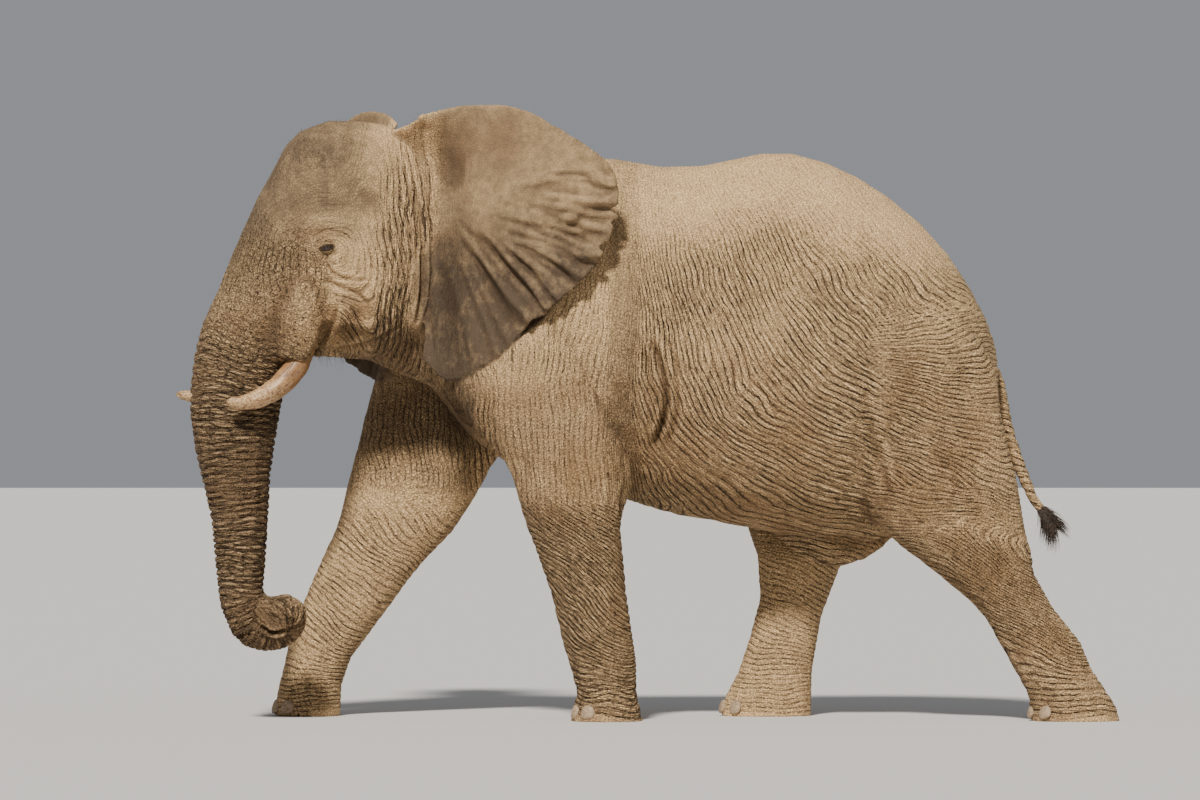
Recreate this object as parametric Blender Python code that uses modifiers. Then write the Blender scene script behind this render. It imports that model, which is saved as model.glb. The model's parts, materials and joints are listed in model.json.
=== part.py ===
"""A bull African bush elephant in mid stride: a still, life-size model in solid parts.

Frame: metres, +Z up, soles on z = 0. The elephant faces -Y and its left side is +X.

Each region of the body is a loft through a few stations. The lofts are fused into one
smooth body, which thin cuts then part where a person would name its parts. Ears, tail,
tusks, eyes and nails are solids of their own, each seated 0.3 mm clear of the body.
"""

import math
from typing import NamedTuple

import bmesh
import bpy
import numpy as np
from mathutils import Matrix
from mathutils import Vector
from mathutils.bvhtree import BVHTree

# ------------------------------------------------------------------ driving sizes

GAP = 0.0003  # clearance between touching pieces
FUSE_VOXEL = 0.028  # grain at which the lofts are fused
FUSE_SMOOTHING = 12  # passes that soften the joins between lofts
BODY_FACES = 2300  # triangles left on the fused body
SOFTEN = 0.5  # share of the way each pass moves a point
ABOVE_GROUND = ((-3.0, -4.0, 0.0), (3.0, 4.0, 4.0))  # a box whose underside makes the soles

HEAD_TURN = math.radians(14.0)  # the head looks a little to its left
HEAD_PIVOT = Vector((0.0, -1.15, 0.0))

EYE_RADIUS = 0.031
EYE_DEPTH = 0.016  # of its centre under the skin
EYE_PLACE = Vector((1.0, -1.915, 2.665))  # a point straight out from the left eye, head's frame

FORE_NAIL_ANGLES = (-58.0, -20.0, 18.0, 54.0)  # degrees round the foot from straight ahead
HIND_NAIL_ANGLES = (-42.0, 0.0, 42.0)
NAIL_SIZE = Vector((0.043, 0.022, 0.043))  # half width, half thickness, half height
NAIL_HEIGHT = 0.054
NAIL_SEARCH = 60  # levels of a leg among which the nails' own is found


class Slice(NamedTuple):
    """Upright cross-section of the body at one y."""

    y: float
    top: float
    bottom: float
    half_width: float
    widest: float  # height at which it is widest
    x: float = 0.0


class Plan(NamedTuple):
    """Level cross-section of a leg at one height."""

    z: float
    front: float
    back: float
    x: float
    half_width: float


class Ring(NamedTuple):
    """Cross-section of a tube that follows its own centre line."""

    x: float
    y: float
    z: float
    half_width: float
    half_depth: float


class Loft(NamedTuple):
    """How finely a loft is sampled and how square its sections are, 2 being round."""

    count: int  # sections along it
    around: int  # points round a section
    top: float = 2.0
    bottom: float = 2.0


BARREL_LOFT = Loft(40, 32, 1.7, 2.15)  # a narrow back over a full belly
NECK_LOFT = Loft(12, 28)
CRANIUM_LOFT = Loft(16, 32, 2.3, 2.3)
JAW_LOFT = Loft(12, 20, 2.0, 2.2)
TRUNK_LOFT = Loft(64, 28)
SWELLING_LOFT = Loft(10, 18)
SHEATH_LOFT = Loft(14, 18)
LEG_LOFT = Loft(34, 26)
TUSK_LOFT = Loft(11, 10)
TUFT_LOFT = Loft(8, 8)
TAIL_AROUND = 10
NAIL_GRID = (8, 5)  # points round and layers of a ball
EYE_GRID = (12, 8)

BARREL = (
    Slice(-1.20, 2.96, 1.86, 0.34, 2.40),
    Slice(-0.92, 3.10, 1.54, 0.48, 2.28),
    Slice(-0.55, 3.20, 1.37, 0.57, 2.15),
    Slice(-0.18, 3.20, 1.27, 0.63, 2.00),
    Slice(0.15, 3.15, 1.17, 0.68, 1.90),
    Slice(0.45, 3.18, 1.11, 0.71, 1.85),
    Slice(0.75, 3.24, 1.06, 0.72, 1.85),
    Slice(1.05, 3.17, 1.03, 0.70, 1.90),
    Slice(1.35, 3.01, 1.02, 0.65, 1.95),
    Slice(1.60, 2.80, 1.10, 0.59, 1.95),
    Slice(1.80, 2.55, 1.22, 0.51, 1.90),
    Slice(1.94, 2.30, 1.36, 0.39, 1.82),
    Slice(2.01, 2.10, 1.54, 0.24, 1.80),
)
NECK = (
    Slice(-0.60, 3.12, 1.60, 0.46, 2.35),
    Slice(-0.95, 3.12, 1.76, 0.44, 2.42),
    Slice(-1.25, 3.18, 1.90, 0.42, 2.50, 0.02),
    Slice(-1.52, 3.26, 2.01, 0.40, 2.60, 0.08),
)

# The head's lofts are in its own frame, before HEAD_TURN.
CRANIUM = (
    Slice(-1.02, 3.12, 2.06, 0.38, 2.60),
    Slice(-1.22, 3.22, 2.02, 0.43, 2.60),
    Slice(-1.42, 3.36, 2.03, 0.475, 2.58),
    Slice(-1.64, 3.41, 2.05, 0.48, 2.56),
    Slice(-1.84, 3.40, 2.10, 0.445, 2.60),
    Slice(-2.00, 3.33, 2.22, 0.385, 2.66),
    Slice(-2.13, 3.14, 2.40, 0.31, 2.75),
)
JAW = (
    Slice(-1.34, 2.45, 2.03, 0.20, 2.25),
    Slice(-1.60, 2.45, 2.045, 0.24, 2.25),
    Slice(-1.82, 2.40, 2.055, 0.20, 2.22),
    Slice(-1.99, 2.30, 2.08, 0.12, 2.19),
    Slice(-2.05, 2.22, 2.12, 0.05, 2.17),
)
FACE_AND_TRUNK = (
    Ring(0.0, -1.76, 3.17, 0.32, 0.19),
    Ring(0.0, -1.92, 2.98, 0.35, 0.25),
    Ring(0.0, -2.07, 2.66, 0.335, 0.27),
    Ring(0.0, -2.19, 2.34, 0.310, 0.285),
    Ring(0.0, -2.29, 2.10, 0.285, 0.290),
    Ring(0.0, -2.355, 1.82, 0.260, 0.265),
    Ring(0.0, -2.362, 1.62, 0.248, 0.245),
    Ring(0.0, -2.355, 1.40, 0.212, 0.203),
    Ring(0.0, -2.335, 1.20, 0.183, 0.172),
    Ring(0.0, -2.330, 1.00, 0.163, 0.155),
    Ring(0.0, -2.330, 0.82, 0.148, 0.141),
    Ring(0.0, -2.318, 0.64, 0.137, 0.128),
    Ring(0.0, -2.262, 0.520, 0.130, 0.118),
    Ring(0.0, -2.160, 0.485, 0.126, 0.112),
    Ring(0.03, -2.075, 0.520, 0.124, 0.112),
    Ring(0.09, -2.065, 0.600, 0.120, 0.115),
    Ring(0.14, -2.125, 0.620, 0.110, 0.105),
    Ring(0.17, -2.175, 0.580, 0.090, 0.075),
)
TUSK_SHEATH = (
    Ring(0.235, -1.98, 2.62, 0.085, 0.100),
    Ring(0.265, -2.02, 2.40, 0.115, 0.130),
    Ring(0.285, -2.06, 2.20, 0.120, 0.130),
    Ring(0.295, -2.09, 2.03, 0.095, 0.100),
)
CHEEK = (
    Ring(0.33, -1.60, 2.74, 0.12, 0.24),
    Ring(0.34, -1.66, 2.45, 0.15, 0.28),
    Ring(0.28, -1.72, 2.22, 0.12, 0.22),
)

LEFT_FORELEG = (
    Plan(2.50, -1.02, -0.40, 0.36, 0.12),
    Plan(2.10, -1.12, -0.22, 0.43, 0.19),
    Plan(1.75, -1.03, -0.14, 0.45, 0.205),
    Plan(1.45, -0.79, -0.07, 0.43, 0.195),
    Plan(1.12, -0.68, -0.13, 0.42, 0.180),
    Plan(0.92, -0.61, -0.125, 0.41, 0.170),
    Plan(0.70, -0.53, -0.10, 0.40, 0.165),
    Plan(0.44, -0.475, -0.06, 0.39, 0.165),
    Plan(0.26, -0.415, -0.045, 0.385, 0.165),
    Plan(0.14, -0.39, -0.045, 0.385, 0.175),
    Plan(0.04, -0.42, -0.02, 0.385, 0.200),
    Plan(-0.08, -0.43, -0.01, 0.385, 0.205),
)
RIGHT_FORELEG = (
    Plan(2.50, -1.20, -0.60, -0.36, 0.12),
    Plan(2.12, -1.50, -0.55, -0.42, 0.19),
    Plan(1.85, -1.59, -0.62, -0.44, 0.205),
    Plan(1.50, -1.68, -0.84, -0.43, 0.195),
    Plan(1.08, -1.79, -1.09, -0.42, 0.180),
    Plan(0.85, -1.89, -1.30, -0.41, 0.170),
    Plan(0.56, -2.01, -1.52, -0.40, 0.165),
    Plan(0.34, -2.08, -1.68, -0.39, 0.165),
    Plan(0.18, -2.11, -1.745, -0.385, 0.175),
    Plan(0.05, -2.15, -1.75, -0.385, 0.200),
    Plan(-0.08, -2.155, -1.75, -0.385, 0.205),
)
LEFT_HIND_LEG = (
    Plan(2.40, 1.08, 1.66, 0.34, 0.14),
    Plan(2.00, 1.10, 1.97, 0.40, 0.21),
    Plan(1.68, 1.14, 2.02, 0.42, 0.225),
    Plan(1.32, 1.21, 2.11, 0.42, 0.215),
    Plan(1.07, 1.35, 2.15, 0.41, 0.195),
    Plan(0.82, 1.66, 2.205, 0.39, 0.165),
    Plan(0.60, 1.90, 2.34, 0.375, 0.148),
    Plan(0.43, 2.00, 2.475, 0.365, 0.145),
    Plan(0.29, 2.08, 2.525, 0.36, 0.150),
    Plan(0.13, 2.16, 2.64, 0.36, 0.165),
    Plan(0.03, 2.18, 2.69, 0.36, 0.180),
    Plan(-0.08, 2.18, 2.69, 0.36, 0.180),
)
RIGHT_HIND_LEG = (
    Plan(2.40, 0.85, 1.60, -0.34, 0.14),
    Plan(2.00, 0.75, 1.78, -0.40, 0.21),
    Plan(1.68, 0.65, 1.72, -0.42, 0.225),
    Plan(1.30, 0.57, 1.55, -0.42, 0.215),
    Plan(1.07, 0.59, 1.32, -0.41, 0.195),
    Plan(0.87, 0.665, 1.14, -0.39, 0.170),
    Plan(0.72, 0.665, 1.075, -0.38, 0.150),
    Plan(0.44, 0.60, 1.00, -0.365, 0.145),
    Plan(0.22, 0.52, 0.97, -0.36, 0.155),
    Plan(0.06, 0.44, 0.965, -0.36, 0.180),
    Plan(-0.08, 0.43, 0.965, -0.36, 0.180),
)
SHEATH = (
    Slice(0.78, 1.12, 1.00, 0.05, 1.06),
    Slice(0.92, 1.16, 0.90, 0.09, 1.02),
    Slice(1.08, 1.16, 0.855, 0.11, 1.00),
    Slice(1.22, 1.14, 0.885, 0.10, 1.00),
    Slice(1.38, 1.12, 0.98, 0.05, 1.04),
)
TAIL = (
    Ring(0.0, 1.86, 2.12, 0.090, 0.070),
    Ring(0.0, 1.99, 1.95, 0.066, 0.052),
    Ring(0.0, 2.058, 1.69, 0.048, 0.038),
    Ring(0.0, 2.108, 1.53, 0.043, 0.037),
    Ring(0.0, 2.172, 1.36, 0.037, 0.033),
    Ring(0.0, 2.235, 1.23, 0.032, 0.029),
    Ring(0.0, 2.264, 1.19, 0.028, 0.026),
)
TAIL_RINGS = 17
TAIL_CUTS = (8, 12)  # rings at which the tail is parted
TUFT = (
    Ring(0.0, 2.258, 1.205, 0.034, 0.034),
    Ring(0.0, 2.300, 1.150, 0.042, 0.060),
    Ring(0.0, 2.335, 1.085, 0.038, 0.062),
    Ring(0.0, 2.365, 1.030, 0.018, 0.028),
    Ring(0.0, 2.378, 1.005, 0.006, 0.010),
)
TUSK = (
    Ring(0.270, -1.99, 2.18, 0.058, 0.058),
    Ring(0.290, -2.065, 2.00, 0.065, 0.065),
    Ring(0.305, -2.135, 1.92, 0.064, 0.064),
    Ring(0.325, -2.275, 1.825, 0.054, 0.054),
    Ring(0.343, -2.390, 1.795, 0.040, 0.040),
    Ring(0.356, -2.475, 1.800, 0.020, 0.020),
)
TUSK_FREE = 3  # the station from which the tusk stands free
RIGHT_TUSK_EXTRA = 0.16  # the right tusk is less worn
RIGHT_TUSK_RISE = 0.05

# The ear as a leaf in the head's frame: its root on the head, its free edge beyond.
EAR_HINGE = Vector((0.45, -1.34, 0.0))
EAR_ROOT = (  # how far in from the hinge, how high, how far forward
    (-0.33, 3.34, 0.16),
    (-0.17, 3.14, 0.06),
    (-0.04, 2.84, 0.00),
    (-0.03, 2.50, 0.00),
    (-0.06, 2.28, 0.00),
)
EAR_EDGE = (
    (-0.06, 3.42),
    (0.22, 3.47),
    (0.48, 3.46),
    (0.78, 3.32),
    (1.06, 3.08),
    (1.05, 2.72),
    (0.91, 2.50),
    (0.60, 2.24),
    (0.36, 2.02),
    (0.10, 1.925),
    (-0.04, 2.04),
)
EAR_THICKNESS = 0.026
EAR_ROWS = 14
EAR_COLUMNS = 7
EAR_LOBE_TOP = 2.70  # below this the lobe curls
EAR_LOBE_HEIGHT = 0.80


class EarPose(NamedTuple):
    """How an ear is held, in degrees from straight back, positive outwards."""

    root: float  # heading of the sheet where it leaves the head
    edge: float  # heading one metre further out
    lobe: float  # how much further the low lobe turns
    lift: float  # how much the edge rises, in metres


LEFT_EAR = EarPose(32.0, 24.0, 4.0, 0.0)
RIGHT_EAR = EarPose(90.0, 112.0, 36.0, 0.10)


# ------------------------------------------------------------------ materials


class Finish(NamedTuple):
    """Colour, roughness and metallic value of a material."""

    colour: tuple
    roughness: float
    metallic: float = 0.0


HIDE = Finish((0.42, 0.33, 0.25), 0.85)
IVORY = Finish((0.72, 0.55, 0.36), 0.45)
EYE = Finish((0.03, 0.02, 0.015), 0.10)
NAIL = Finish((0.50, 0.42, 0.33), 0.60)
HAIR = Finish((0.04, 0.03, 0.025), 0.70)


def dress(obj, finish):
    """Gives an object a Principled material of its own."""
    material = bpy.data.materials.new(obj.name + "_finish")
    material.use_nodes = True
    shader = material.node_tree.nodes["Principled BSDF"]
    shader.inputs["Base Color"].default_value = (*finish.colour, 1.0)
    shader.inputs["Roughness"].default_value = finish.roughness
    shader.inputs["Metallic"].default_value = finish.metallic
    obj.data.materials.clear()
    obj.data.materials.append(material)


# ------------------------------------------------------------------ curves and lofts


def spline(table, count):
    """Reads a table of stations as one smooth curve with count evenly spaced samples.

    The spacing runs along the first three columns.
    """
    table = np.array(table, dtype=float)
    steps = np.linalg.norm(np.diff(table[:, :3], axis=0), axis=1)
    knots = np.concatenate([[0.0], np.cumsum(steps)])
    slopes = np.gradient(table, knots, axis=0)
    at = np.linspace(0.0, knots[-1], count)
    row = np.clip(np.searchsorted(knots, at, side="right") - 1, 0, len(knots) - 2)
    width = (knots[row + 1] - knots[row])[:, None]
    t = (at[:, None] - knots[row][:, None]) / width
    return (
        (1 + 2 * t) * (1 - t) ** 2 * table[row]
        + t * (1 - t) ** 2 * width * slopes[row]
        + t**2 * (3 - 2 * t) * table[row + 1]
        + t**2 * (t - 1) * width * slopes[row + 1]
    )


def round_angles(around):
    """Angles round one cross-section."""
    return np.linspace(0.0, 2.0 * math.pi, around, endpoint=False)


def swell(value, power):
    """Bends a sine or cosine so that a section is squarer above power 2, sharper below."""
    return np.sign(value) * np.abs(value) ** (2.0 / power)


def slice_rings(slices, loft):
    """Points of upright cross-sections, each an egg with its own top and bottom."""
    rows = spline(slices, loft.count)
    angle = round_angles(loft.around)
    lift = np.sin(angle)
    power = np.where(lift > 0.0, loft.top, loft.bottom)
    y, top, bottom, half_width, widest, x = (rows[:, i : i + 1] for i in range(6))
    height = np.where(lift > 0.0, top - widest, widest - bottom)
    across = x + half_width * swell(np.cos(angle), power)
    up = widest + height * swell(lift, power)
    return np.stack([across, y + 0.0 * across, up], axis=-1)


def plan_rings(plans, loft):
    """Points of level cross-sections, each an ellipse."""
    rows = spline(plans, loft.count)
    angle = round_angles(loft.around)
    z, front, back, x, half_width = (rows[:, i : i + 1] for i in range(5))
    across = x + half_width * np.cos(angle)
    along = (front + back) / 2 + (back - front) / 2 * np.sin(angle)
    return np.stack([across, along, z + 0.0 * across], axis=-1)


def tube_rings(rings, loft):
    """Points of cross-sections square to a bent centre line, which never twist."""
    rows = spline(rings, loft.count)
    centre = rows[:, :3]
    tangent = np.gradient(centre, axis=0)
    tangent /= np.linalg.norm(tangent, axis=1, keepdims=True)
    side = np.array([1.0, 0.0, 0.0])
    angle = round_angles(loft.around)[:, None]
    points = []
    for place, along, row in zip(centre, tangent, rows):
        side = side - along * side.dot(along)
        side /= np.linalg.norm(side)
        depth = np.cross(along, side)
        points.append(place + side * row[3] * np.cos(angle) + depth * row[4] * np.sin(angle))
    return np.array(points)


def closed_mesh(name, rings):
    """Skins a stack of rings with faces and closes both ends."""
    count, around = rings.shape[:2]
    mesh = bpy.data.meshes.new(name)
    shape = bmesh.new()
    rows = [[shape.verts.new(point) for point in ring] for ring in rings.tolist()]
    for lower, upper in zip(rows, rows[1:]):
        for i in range(around):
            j = (i + 1) % around
            shape.faces.new((lower[i], lower[j], upper[j], upper[i]))
    shape.faces.new(rows[0][::-1])
    shape.faces.new(rows[count - 1])
    bmesh.ops.recalc_face_normals(shape, faces=shape.faces)
    shape.to_mesh(mesh)
    shape.free()
    return mesh


def head_turn():
    """The turn that takes the head's own frame to where the head looks."""
    to_pivot = Matrix.Translation(HEAD_PIVOT)
    return to_pivot @ Matrix.Rotation(HEAD_TURN, 4, "Z") @ to_pivot.inverted()


def turned(mesh):
    """Turns a mesh that was made in the head's own frame."""
    mesh.transform(head_turn())
    return mesh


def mirrored(stations):
    """The same tube on the animal's right."""
    return tuple(ring._replace(x=-ring.x) for ring in stations)


# ------------------------------------------------------------------ scene objects


def clear_scene():
    """Removes what the scene starts with."""
    for obj in list(bpy.data.objects):
        bpy.data.objects.remove(obj)


def new_collection(name):
    """Makes a collection in the scene."""
    collection = bpy.data.collections.new(name)
    bpy.context.scene.collection.children.link(collection)
    return collection


def place(name, mesh, collection):
    """Puts a mesh in the scene as a named object."""
    obj = bpy.data.objects.new(name, mesh)
    collection.objects.link(obj)
    return obj


def evaluated_mesh(obj):
    """The object's mesh with its modifiers worked out."""
    bpy.context.view_layer.update()
    graph = bpy.context.evaluated_depsgraph_get()
    return bpy.data.meshes.new_from_object(obj.evaluated_get(graph))


def bake(obj):
    """Replaces an object's modifiers by their result."""
    mesh = evaluated_mesh(obj)
    obj.modifiers.clear()
    obj.data = mesh
    return obj


def boolean(obj, operation, other):
    """Cuts or joins one object with another, exactly."""
    modifier = obj.modifiers.new(operation.lower(), "BOOLEAN")
    modifier.operation = operation
    modifier.solver = "EXACT"
    modifier.object = other
    return bake(obj)


def swollen(obj, amount, collection):
    """A cutter: the object's shape with every face moved out by the same amount."""
    mesh = obj.data.copy()
    shape = bmesh.new()
    shape.from_mesh(mesh)
    shape.normal_update()
    moves = [vertex.normal * vertex.calc_shell_factor() * amount for vertex in shape.verts]
    for vertex, move in zip(shape.verts, moves):
        vertex.co += move
    shape.to_mesh(mesh)
    shape.free()
    return hide(place(obj.name + "_seat", mesh, collection))


def hide(obj):
    """Marks an object as a cutter."""
    obj.hide_render = True
    obj.display_type = "WIRE"
    return obj


def box_mesh(name, low, high, tilt):
    """A box between two corners, tilted about a level line across its middle."""
    mesh = bpy.data.meshes.new(name)
    shape = bmesh.new()
    size = Vector(high) - Vector(low)
    centre = Matrix.Translation((Vector(high) + Vector(low)) / 2)
    turn = centre @ Matrix.Rotation(tilt, 4, "X")
    bmesh.ops.create_cube(shape, size=1.0, matrix=turn @ Matrix.Diagonal((*size, 1.0)))
    shape.to_mesh(mesh)
    shape.free()
    return mesh


# ------------------------------------------------------------------ the fused body


def body_lofts():
    """Meshes of every region that is fused into the body."""
    lofts = [
        closed_mesh("barrel", slice_rings(BARREL, BARREL_LOFT)),
        closed_mesh("neck", slice_rings(NECK, NECK_LOFT)),
        turned(closed_mesh("cranium", slice_rings(CRANIUM, CRANIUM_LOFT))),
        turned(closed_mesh("jaw", slice_rings(JAW, JAW_LOFT))),
        turned(closed_mesh("trunk", tube_rings(FACE_AND_TRUNK, TRUNK_LOFT))),
        closed_mesh("sheath", slice_rings(SHEATH, SHEATH_LOFT)),
    ]
    for ring_table in (TUSK_SHEATH, CHEEK):
        for stations in (ring_table, mirrored(ring_table)):
            rings = tube_rings(stations, SWELLING_LOFT)
            lofts.append(turned(closed_mesh("swelling", rings)))
    for plans in (LEFT_FORELEG, RIGHT_FORELEG, LEFT_HIND_LEG, RIGHT_HIND_LEG):
        lofts.append(closed_mesh("leg", plan_rings(plans, LEG_LOFT)))
    return lofts


def join_meshes(meshes):
    """Puts several meshes into one, without changing their shapes."""
    joined = bpy.data.meshes.new("joined")
    shape = bmesh.new()
    for mesh in meshes:
        shape.from_mesh(mesh)
        bpy.data.meshes.remove(mesh)
    shape.to_mesh(joined)
    shape.free()
    return joined


def fused_body(parts, cutters):
    """Fuses the lofts into one closed, smooth body that stands on flat soles."""
    body = place("body", join_meshes(body_lofts()), parts)
    remesh = body.modifiers.new("fuse", "REMESH")
    remesh.mode = "VOXEL"
    remesh.voxel_size = FUSE_VOXEL
    bake(body)
    smooth = body.modifiers.new("soften", "SMOOTH")
    smooth.factor = SOFTEN
    smooth.iterations = FUSE_SMOOTHING
    bake(body)
    body.data.calc_loop_triangles()
    thin = body.modifiers.new("thin", "DECIMATE")
    thin.ratio = BODY_FACES / len(body.data.loop_triangles)
    thin.use_collapse_triangulate = True
    bake(body)
    low, high = ABOVE_GROUND
    ground = place("above_ground", box_mesh("above_ground", low, high, 0.0), cutters)
    boolean(body, "INTERSECT", hide(ground))
    return body


# ------------------------------------------------------------------ parting the body


class Cut(NamedTuple):
    """A box that parts one named piece from the rest of the body."""

    name: str
    low: tuple
    high: tuple
    tilt: float = 0.0  # degrees, about X


FLOOR = -0.2  # the low cuts start under the soles
ANKLE = 0.21

CUTS = (
    Cut("forefoot_left", (0.04, -0.8, FLOOR), (1.0, 0.3, ANKLE)),
    Cut("forefoot_right", (-1.0, -2.6, FLOOR), (-0.04, -1.4, ANKLE)),
    Cut("hind_foot_left", (0.04, 1.8, FLOOR), (1.0, 3.0, ANKLE)),
    Cut("hind_foot_right", (-1.0, 0.1, FLOOR), (-0.04, 1.4, ANKLE)),
    Cut("forearm_left", (0.04, -1.1, FLOOR), (1.0, 0.2, 0.86)),
    Cut("forearm_right", (-1.0, -2.6, FLOOR), (-0.06, -1.0, 0.84)),
    Cut("shank_left", (0.04, 1.3, FLOOR), (1.0, 3.0, 0.76)),
    Cut("shank_right", (-1.0, 0.1, FLOOR), (-0.04, 1.6, 0.76)),
    Cut("trunk_tip", (-0.05, -2.9, FLOOR), (1.0, -1.75, 0.76)),
    Cut("trunk_lower", (-0.05, -2.9, FLOOR), (1.0, -1.75, 1.12)),
    Cut("trunk_middle", (-0.05, -2.9, FLOOR), (1.0, -1.85, 1.50)),
    Cut("trunk_upper", (-0.15, -3.0, 1.20), (1.0, -1.90, 1.97), 8.0),
    Cut("lower_jaw", (-0.4, -2.25, 1.90), (0.8, -1.56, 2.15), -6.0),
    Cut("head", (-1.0, -3.2, 1.93), (1.2, -1.38, 3.9), 7.0),
    Cut("upper_arm_left", (0.10, -1.4, FLOOR), (1.2, -0.02, 1.46)),
    Cut("upper_arm_right", (-1.2, -2.4, FLOOR), (-0.10, -0.80, 1.47)),
    Cut("thigh_left", (0.08, 1.27, FLOOR), (1.2, 3.2, 1.82), -8.0),
    Cut("thigh_right", (-1.2, 0.50, FLOOR), (-0.12, 1.62, 1.50)),
    Cut("neck", (-1.2, -2.6, 1.2), (1.2, -0.93, 3.9), 12.0),
    Cut("chest", (-1.2, -3.0, 0.2), (1.2, -0.10, 4.2)),
    Cut("rump", (-1.2, 1.05, 0.2), (1.2, 3.0, 4.2)),
    Cut("sheath", (-0.2, 0.5, 0.2), (0.2, 1.6, 1.0)),
)
REST_OF_BODY = "belly"


def part_body(body, parts, cutters):
    """Cuts the named pieces from the body one after another, a thin gap between them."""
    clearance = Vector((GAP, GAP, GAP))
    for cut in CUTS:
        tilt = math.radians(cut.tilt)
        inner = place(cut.name + "_cut", box_mesh("box", cut.low, cut.high, tilt), cutters)
        low = Vector(cut.low) - clearance
        high = Vector(cut.high) + clearance
        outer = place(cut.name + "_gap", box_mesh("box", low, high, tilt), cutters)
        piece = place(cut.name, body.data.copy(), parts)
        boolean(piece, "INTERSECT", hide(inner))
        boolean(body, "DIFFERENCE", hide(outer))
        dress(piece, HIDE)
    body.name = REST_OF_BODY
    dress(body, HIDE)


# ------------------------------------------------------------------ ears


def ear_sheet(pose, side):
    """An ear as an open sheet of points from root to free edge; side is 1 left, -1 right."""
    root = spline(EAR_ROOT, EAR_ROWS)
    edge = spline([(*p, 0.0) for p in EAR_EDGE], EAR_ROWS)
    share = np.linspace(0.0, 1.0, EAR_COLUMNS)[None, :]
    reach = edge[:, :1] * share
    height = root[:, 1:2] * (1 - share) + edge[:, 1:2] * share
    lobe = np.clip((EAR_LOBE_TOP - height) / EAR_LOBE_HEIGHT, 0.0, 1.0)
    out = np.clip(reach, 0.0, 1.0)
    heading = np.radians(pose.root + (pose.edge - pose.root) * out + pose.lobe * lobe)
    near_root = (1 - share) ** 2
    x = EAR_HINGE.x + root[:, :1] * near_root + reach * np.sin(heading)
    y = EAR_HINGE.y - root[:, 2:] * near_root + reach * np.cos(heading)
    return np.stack([side * x, y, height + pose.lift * out], axis=-1)


def grid_mesh(name, grid):
    """Skins a grid of points as an open sheet."""
    mesh = bpy.data.meshes.new(name)
    rows, columns = grid.shape[:2]
    index = np.arange(rows * columns).reshape(rows, columns)
    corners = (index[:-1, :-1], index[:-1, 1:], index[1:, 1:], index[1:, :-1])
    faces = np.stack([corner.ravel() for corner in corners], axis=1)
    mesh.from_pydata(grid.reshape(-1, 3).tolist(), [], faces.tolist())
    return mesh


def make_ear(name, pose, side, seat, parts):
    """Thickens an ear's sheet and seats it against the body."""
    ear = place(name, turned(grid_mesh(name, ear_sheet(pose, side))), parts)
    shell = ear.modifiers.new("thickness", "SOLIDIFY")
    shell.thickness = EAR_THICKNESS
    shell.offset = 0.0
    bake(ear)
    boolean(ear, "DIFFERENCE", seat)
    dress(ear, HIDE)


# ------------------------------------------------------------------ smaller solids


def longer(stations, extra, rise):
    """A tusk whose free end is carried further on and up."""
    start = stations[TUSK_FREE - 1]
    reach = start.y - stations[-1].y
    free = []
    for ring in stations[TUSK_FREE:]:
        share = (start.y - ring.y) / reach
        free.append(ring._replace(y=ring.y - extra * share, z=ring.z + rise * share))
    return (*stations[:TUSK_FREE], *free)


def make_tusk(name, stations, seat, parts):
    """A curved, tapering tusk that leaves the head at the lip."""
    mesh = turned(closed_mesh(name, tube_rings(stations, TUSK_LOFT)))
    tusk = boolean(place(name, mesh, parts), "DIFFERENCE", seat)
    tusk.data.shade_smooth()
    dress(tusk, IVORY)


def make_tail(seat, parts, cutters):
    """The tail in three lengths, then the hair tuft, each a thin gap from the last."""
    samples = tube_rings(TAIL, Loft(TAIL_RINGS, TAIL_AROUND))
    starts = (0, *TAIL_CUTS)
    ends = (*TAIL_CUTS, TAIL_RINGS - 1)
    for name, start, end in zip(("tail_root", "tail_middle", "tail_end"), starts, ends):
        rings = samples[start : end + 1].copy()
        if start:
            onward = rings[1].mean(axis=0) - rings[0].mean(axis=0)
            rings[0] += GAP * onward / np.linalg.norm(onward)
        length = place(name, closed_mesh(name, rings), parts)
        if not start:
            boolean(length, "DIFFERENCE", seat)
        dress(length, HIDE)
    tuft = place("tail_tuft", closed_mesh("tail_tuft", tube_rings(TUFT, TUFT_LOFT)), parts)
    boolean(tuft, "DIFFERENCE", swollen(length, GAP, cutters))
    dress(tuft, HAIR)


def ball_mesh(name, centre, size, heading, grid):
    """An ellipsoid with its half sizes along its own axes, turned about Z."""
    rounds, layers = grid
    mesh = bpy.data.meshes.new(name)
    shape = bmesh.new()
    matrix = Matrix.Translation(centre) @ Matrix.Rotation(heading, 4, "Z")
    matrix = matrix @ Matrix.Diagonal((*size, 1.0))
    bmesh.ops.create_uvsphere(
        shape, u_segments=rounds, v_segments=layers, radius=1.0, matrix=matrix
    )
    shape.to_mesh(mesh)
    shape.free()
    return mesh


def make_nails(foot, plans, angles, seat, parts):
    """Nails set round the front of a foot, just above the ground."""
    level = spline(plans, NAIL_SEARCH)
    _, front, back, x, half_width = level[np.argmin(np.abs(level[:, 0] - NAIL_HEIGHT))]
    for number, angle in enumerate(angles, start=1):
        turn = math.radians(angle)
        place_x = x + half_width * math.sin(turn)
        place_y = (front + back) / 2 - (back - front) / 2 * math.cos(turn)
        name = f"nail_{foot}_{number}"
        centre = Vector((place_x, place_y, NAIL_HEIGHT))
        nail = place(name, ball_mesh(name, centre, NAIL_SIZE, turn, NAIL_GRID), parts)
        boolean(nail, "DIFFERENCE", seat)
        dress(nail, NAIL)


def skin_point(body, outside, inwards):
    """Where a straight line from outside first meets the body."""
    tree = BVHTree.FromPolygons(
        [vertex.co for vertex in body.data.vertices],
        [face.vertices for face in body.data.polygons],
    )
    return tree.ray_cast(outside, inwards)[0]


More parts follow.
